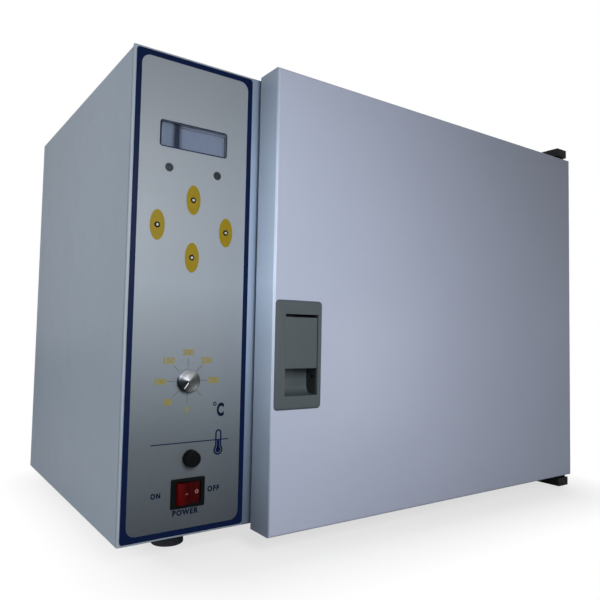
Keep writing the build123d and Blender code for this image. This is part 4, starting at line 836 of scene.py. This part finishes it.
def printText(bm, words, centre, size, heavy=0.0, spread=1.0):
    # letters fitted to a width and a height in millimetres
    curve = bpy.data.curves.new("letters", "FONT")
    curve.body = words
    curve.resolution_u = 5     # steps in each bend of a letter
    curve.offset = heavy
    curve.space_character = spread
    holder = bpy.data.objects.new("letters", curve)
    bpy.context.scene.collection.objects.link(holder)
    bpy.context.view_layer.update()
    mesh = bpy.data.meshes.new_from_object(holder)
    bpy.data.objects.remove(holder)
    before = set(bm.verts)
    bm.from_mesh(mesh)
    bpy.data.meshes.remove(mesh)
    made = [vert for vert in bm.verts if vert not in before]
    low = [min(vert.co[i] for vert in made) for i in (0, 1)]
    high = [max(vert.co[i] for vert in made) for i in (0, 1)]
    moved(bm, made, (-(low[0] + high[0]) / 2, -(low[1] + high[1]) / 2))
    moved(bm, made, centre, (size[0] / (high[0] - low[0]), size[1] / (high[1] - low[1])))


def printPiece(name, bm, material, thick=0.05, sunk=0.01, body="cabinet", place=None):
    # gives flat shapes the ink's thickness and lays them on the panel, or at another place
    bmesh.ops.translate(bm, vec=(0, 0, -sunk), verts=bm.verts)
    raised = bmesh.ops.extrude_face_region(bm, geom=list(bm.faces))["geom"]
    top = [item for item in raised if isinstance(item, bmesh.types.BMVert)]
    bmesh.ops.translate(bm, vec=(0, 0, thick + sunk), verts=top)
    bmesh.ops.transform(bm, matrix=place or toPanel, verts=bm.verts)
    finishPiece(name, bm, material, body)


borderPrint = {
    "centre": (58.25, 210.0),
    "outer": (113.1, 415.6), "outerCorner": 2.9,
    "inner": (103.5, 406.0), "innerCorner": 8.0,
    "segments": 10,
}
bm = bmesh.new()
flatRing(bm, **borderPrint)
printPiece("overlayBorder", bm, extraFinishes["navy"])

windowPrint = {"centre": (56.75, 348.0), "opening": (62.9, 21.6), "corner": 1.6, "line": 1.0}
bm = bmesh.new()
flatRing(bm, windowPrint["centre"],
         tuple(side + 2 * windowPrint["line"] for side in windowPrint["opening"]),
         windowPrint["corner"] + windowPrint["line"], windowPrint["opening"],
         windowPrint["corner"])
printPiece("windowOutline", bm, extraFinishes["navy"])

bm = bmesh.new()
for spot in keyPrint["spots"].values():
    flatOval(bm, spot, keyPrint["oval"], keyPrint["hole"])
printPiece("keyOvals", bm, extraFinishes["mustard"])

dialPrint = {
    "centre": (57.0, 133.5),
    "zero": -90.0,             # degrees, the 0 mark points down
    "step": 45.0,
    "marks": 8,
    "numbers": ["0", "50", "100", "150", "200", "250", "300"],
    "numberReach": 25.0,
    "digit": (3.4, 5.6),
    "digitGap": 0.2,
    "heavy": 0.055,
    "tick": {"from": 11.5, "to": 19.0, "width": 0.45},
}


def heading(angle):
    return Vector((math.cos(math.radians(angle)), math.sin(math.radians(angle))))


def dialLine(bm, angle, line):
    centre = Vector(dialPrint["centre"])
    flatLine(bm, centre + heading(angle) * line["from"], centre + heading(angle) * line["to"],
             line["width"])


ticks = bmesh.new()
numbers = bmesh.new()
wide, tall = dialPrint["digit"]
for mark in range(dialPrint["marks"]):
    angle = dialPrint["zero"] - mark * dialPrint["step"]
    dialLine(ticks, angle, dialPrint["tick"])
    if mark < len(dialPrint["numbers"]):
        words = dialPrint["numbers"][mark]
        size = (wide * len(words) + dialPrint["digitGap"] * (len(words) - 1), tall)
        middle = Vector(dialPrint["centre"]) + heading(angle) * dialPrint["numberReach"]
        printText(numbers, words, middle, size, dialPrint["heavy"])
printPiece("dialTicks", ticks, extraFinishes["tickGrey"])
printPiece("dialNumbers", numbers, extraFinishes["scaleMustard"])

labelPrint = {
    "words": [                 # with the middle and the size of each
        ("ON", (30.9, 37.7), (8.8, 4.8)),
        ("OFF", (84.8, 37.6), (11.6, 5.0)),
        ("POWER", (58.6, 20.9), (24.0, 5.0)),
        ("C", (89.7, 106.9), (7.2, 12.2)),
    ],
    "heavy": 0.05,
    "spread": 1.25,
    "degree": {"centre": (84.0, 112.2), "radii": (1.8, 1.8), "hole": (0.9, 0.9),
               "segments": 24},
}
bm = bmesh.new()
for words, centre, size in labelPrint["words"]:
    printText(bm, words, centre, size, labelPrint["heavy"], labelPrint["spread"])
flatOval(bm, **labelPrint["degree"])
printPiece("switchLabels", bm, extraFinishes["label"])

thermometerPrint = {
    "x": 88.4,
    "bulb": (71.2, 4.6),       # height of its middle, and radius
    "tube": (3.1, 89.4),       # radius, and height of its end
    "wall": 1.45,
    "steps": (24, 12),         # round the bulb, and round the tube's end
    "columnBulb": 1.4,         # walls between the outside and the column's bulb
    "columnGap": 0.7,
    "columnStart": 0.5,
    "thick": 0.06,
    "line": ((25.0, 80.2), (98.5, 80.2), 0.9),
}


def thermometerOutline(bm, setup, inset):
    # an arc round the bulb and one round the tube's end, joined by the tube's two sides
    bulbHeight, bulbRadius = setup["bulb"]
    tubeRadius, tubeEnd = setup["tube"]
    joint = math.asin((tubeRadius - inset) / (bulbRadius - inset))
    arcs = [
        (bulbHeight, bulbRadius - inset, math.pi / 2 + joint, fullTurn - 2 * joint),
        (tubeEnd - tubeRadius, tubeRadius - inset, 0.0, math.pi),
    ]
    before = set(bm.edges)
    ends = []
    for (height, radius, start, sweep), steps in zip(arcs, setup["steps"]):
        middle = Vector((setup["x"], height, 0))
        first = bm.verts.new(middle + Vector((math.cos(start), math.sin(start), 0)) * radius)
        spun = bmesh.ops.spin(bm, geom=[first], cent=middle, axis=(0, 0, 1), angle=sweep,
                              steps=steps, use_merge=False, use_duplicate=False)
        ends += [first, spun["geom_last"][0]]
    bm.edges.new((ends[1], ends[2]))
    bm.edges.new((ends[3], ends[0]))
    return [edge for edge in bm.edges if edge not in before]


def thermometer(setup):
    # outline of tube and bulb, with the column inside
    bm = bmesh.new()
    bmesh.ops.bridge_loops(bm, edges=(thermometerOutline(bm, setup, 0.0)
                                      + thermometerOutline(bm, setup, setup["wall"])))
    bulbHeight, bulbRadius = setup["bulb"]
    core = bmesh.ops.create_circle(bm, cap_ends=True, segments=setup["steps"][0],
                                   radius=bulbRadius - setup["columnBulb"] * setup["wall"])
    moved(bm, core["verts"], (setup["x"], bulbHeight))
    flatLine(bm, (setup["x"], bulbHeight + setup["columnStart"]),
             (setup["x"], setup["line"][0][1]),
             2 * (setup["tube"][0] - setup["wall"]) - setup["columnGap"])
    return bm


printPiece("thermometerMark", thermometer(thermometerPrint), extraFinishes["navy"],
           thermometerPrint["thick"])
bm = bmesh.new()
flatLine(bm, *thermometerPrint["line"])
printPiece("ruleLine", bm, extraFinishes["navy"])
print("printing laid on the control strip")


knobShape = {
    # radius and height above the overlay, from the middle of the face to the back
    "profile": [(0.0, 4.25), (5.2, 4.35), (8.3, 4.62), (8.9, 4.95), (9.35, 5.0), (9.75, 4.7),
                (9.95, 4.1), (10.0, 0.5), (9.8, 0.3), (0.0, 0.3)],
    "steps": 96,
    "pointer": {"from": 1.6, "to": 8.0, "width": 0.75},
    "pointerAngle": -126.0,
    "pointerHeight": 4.35,
    "pointerThick": 0.35,
    "pointerSunk": 0.1,
}


def dialKnob(shape):
    bm = bmesh.new()
    verts = [bm.verts.new((reach, 0, rise)) for reach, rise in shape["profile"]]
    edges = [bm.edges.new(pair) for pair in zip(verts, verts[1:])]
    bmesh.ops.spin(bm, geom=verts + edges, cent=(0, 0, 0), axis=(0, 0, 1), angle=fullTurn,
                   steps=shape["steps"], use_merge=True, use_duplicate=False)
    bmesh.ops.remove_doubles(bm, verts=bm.verts, dist=weld)
    moved(bm, bm.verts, dialPrint["centre"])
    bmesh.ops.transform(bm, matrix=toPanel, verts=bm.verts)
    finishPiece("dialKnob", bm, finishes["spun_metal"], "knob",
                ["thermostat_knob"])


dialKnob(knobShape)
bm = bmesh.new()
dialLine(bm, knobShape["pointerAngle"], knobShape["pointer"])
bmesh.ops.translate(bm, vec=(0, 0, knobShape["pointerHeight"]), verts=bm.verts)
printPiece("knobPointer", bm, extraFinishes["pointer"],
           knobShape["pointerThick"], knobShape["pointerSunk"], "knob")
print("knob turned")


roundedEdges = {
    "flat": 0.5,               # degrees up to which triangles become one face
    "turnAbove": 25.0,         # degrees past which an edge is sharp
    # each piece's node, rounding in millimetres and segments
    "pieces": {
        "latchBezel": ("latch_frame", 0.6, 3),
        "latchFlap": ("latch_paddle", 0.5, 3),
        "powerRocker": ("switch_rocker", 0.6, 3),
        "switchBezel": ("switch_housing", 0.4, 2),
        "topHingeBar": ("top_hinge_bracket", 0.7, 3),
        "bottomHingeBar": ("bottom_hinge_bracket", 0.7, 3),
        "rubberFeet": ("feet", 0.8, 3),
        "screwCap": ("reset_cap", 0.3, 2),
    },
}


def softened(name, node, width, segments):
    # a copy of a node with its sharp edges rounded off
    bm = mergedCopy(node)
    bmesh.ops.dissolve_limit(bm, angle_limit=math.radians(roundedEdges["flat"]),
                             verts=bm.verts, edges=bm.edges)
    sharp = [edge for edge in bm.edges
             if len(edge.link_faces) == 2
             and edge.calc_face_angle(0.0) > math.radians(roundedEdges["turnAbove"])]
    bmesh.ops.bevel(bm, geom=sharp, offset=width * mm, offset_type="OFFSET", affect="EDGES",
                    segments=segments, profile=0.5, clamp_overlap=True, material=-1)
    finishPiece(name, bm, finishes[slotOf[node]], nodes[node]["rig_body"], [node])


for name, (node, width, segments) in roundedEdges["pieces"].items():
    softened(name, node, width, segments)
print("edges rounded")


# the coil under the latch's bolt rides on the bolt and is squeezed against the door
coil = finishPiece("latchSpring", mergedCopy("bolt_spring"), finishes["spindle_steel"], "bolt",
                   ["bolt_spring"])
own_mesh(coil)
print("spring coiled")


rockerMarks = {
    "valley": (61.05, 37.2, 2.5),    # from the case's left bottom corner and the overlay
    "lean": 26.0,
    "ring": {"centre": (6.5, 0.6), "radii": (1.75, 1.75), "hole": (0.75, 0.75)},
    "dash": {"centre": (-4.0, -0.2), "size": (3.0, 0.9), "corner": 0.2, "segments": 3},
}
rightFacet = toPanel @ Matrix.Translation(rockerMarks["valley"])
leftFacet = rightFacet @ Matrix.Rotation(math.radians(rockerMarks["lean"]), 4, "Y")
bm = bmesh.new()
flatOval(bm, **rockerMarks["ring"])
printPiece("offMark", bm, extraFinishes["paleMark"], body="rocker",
           place=rightFacet)
bm = bmesh.new()
flatShape(bm, **rockerMarks["dash"])
printPiece("onMark", bm, extraFinishes["paleMark"], body="rocker",
           place=leftFacet)
print("rocker marked")


lamps = {
    "key": {"place": (-0.25, -0.68, 0.355), "aim": (-0.33, -0.19, 0.0), "size": 0.26,
            "power": 2.95},
    "side": {"place": (-1.0, -0.06, 0.32), "aim": (-0.3, 0.05, 0.25), "size": 0.5,
             "power": 3.9},
    "low": {"place": (0.29, -0.62, 0.13), "aim": (0.24, -0.2, 0.12), "size": 0.24,
            "power": 0.33},
    "top": {"place": (-0.3, 0.2, 1.6), "aim": (0.0, 0.0, 0.3), "size": 1.4, "power": 5.0},
    "back": {"place": (0.7, 1.3, 0.6), "aim": (0.0, 0.1, 0.2), "size": 0.9, "power": 9.0},
    "right": {"place": (1.4, 0.25, 0.55), "aim": (0.28, 0.05, 0.2), "size": 0.9, "power": 5.0},
}


def addLamp(name, setup):
    data = bpy.data.lights.new(name, "AREA")
    data.size = setup["size"]
    data.energy = setup["power"]
    lamp = bpy.data.objects.new(name, data)
    bpy.context.scene.collection.objects.link(lamp)
    direction = Vector(setup["aim"]) - Vector(setup["place"])
    lamp.matrix_world = (Matrix.Translation(setup["place"])
                         @ direction.to_track_quat("-Z", "Y").to_matrix().to_4x4())


for name, setup in lamps.items():
    addLamp(name + "Light", setup)

surroundings = {
    "colour": (1.0, 1.0, 1.0),
    "onObject": 0.08,          # the strength that lights the object
    "inMetal": 0.38,           # and the one that reflections see
}
world = bpy.data.worlds.new("studio")
bpy.context.scene.world = world
world.use_nodes = True
backdrop = world.node_tree.nodes["Background"].inputs
sky = Graph(world.node_tree)
seen = sky.maths("MAXIMUM", sky.ray("Is Camera Ray"), sky.ray("Is Transmission Ray"))
ambient = sky.range(sky.ray("Is Glossy Ray"), 0.0, 1.0, surroundings["onObject"],
                    surroundings["inMetal"])
sky.feed(backdrop["Strength"], sky.maths("MAXIMUM", seen, ambient))
sky.feed(backdrop["Color"], surroundings["colour"])

floorSetup = {
    "radius": 6.0,
    "sides": 128,
    "seen": (0.62, 0.62, 0.62),
    "bounce": (0.40, 0.40, 0.41),
    "white": (1.0, 1.0, 1.0),
    "fixed": {"Roughness": 0.9, "Specular IOR Level": 0.1},
    "centre": (0.02, 0.0),
    "footprint": (0.22, 0.16),
    "lift": 0.68,              # share of plain white close to the object
    "fade": (0.05, 0.135),     # where it starts and ends turning plain white
}


def floorPaper(setup):
    # plain white away from the object for the camera, and grey paper for other rays
    paper = Finish("floorPaper", setup["fixed"])
    outside = []
    for axis, middle, half in zip("XY", setup["centre"], setup["footprint"]):
        across = paper.maths("ABSOLUTE", paper.along(axis) - middle)
        outside.append(paper.maths("MAXIMUM", across - half, 0.0))
    fade = paper.range(paper.distance(*outside), *setup["fade"], setup["lift"], 1.0)
    byCamera = paper.ray("Is Camera Ray")
    paper.set("Base Color", paper.mix(byCamera, setup["bounce"], setup["seen"]))
    white = paper.node("ShaderNodeEmission", {}, {"Color": setup["white"], "Strength": 1.0})
    grey = Value(paper, paper.shader.outputs[0])
    mixed = paper.node("ShaderNodeMixShader", {}, {0: fade * byCamera, 1: grey, 2: white})
    paper.feed(paper.tree.nodes["Material Output"].inputs["Surface"], mixed)
    return paper.material


bm = bmesh.new()
bmesh.ops.create_circle(bm, cap_ends=True, segments=floorSetup["sides"],
                        radius=floorSetup["radius"])
floorMesh = bpy.data.meshes.new("studioFloor")
bm.to_mesh(floorMesh)
bm.free()
floorMesh.materials.append(floorPaper(floorSetup))
floor = bpy.data.objects.new("studioFloor", floorMesh)
bpy.context.scene.collection.objects.link(floor)

bpy.context.scene.view_settings.view_transform = "Standard"
print("light and floor set")
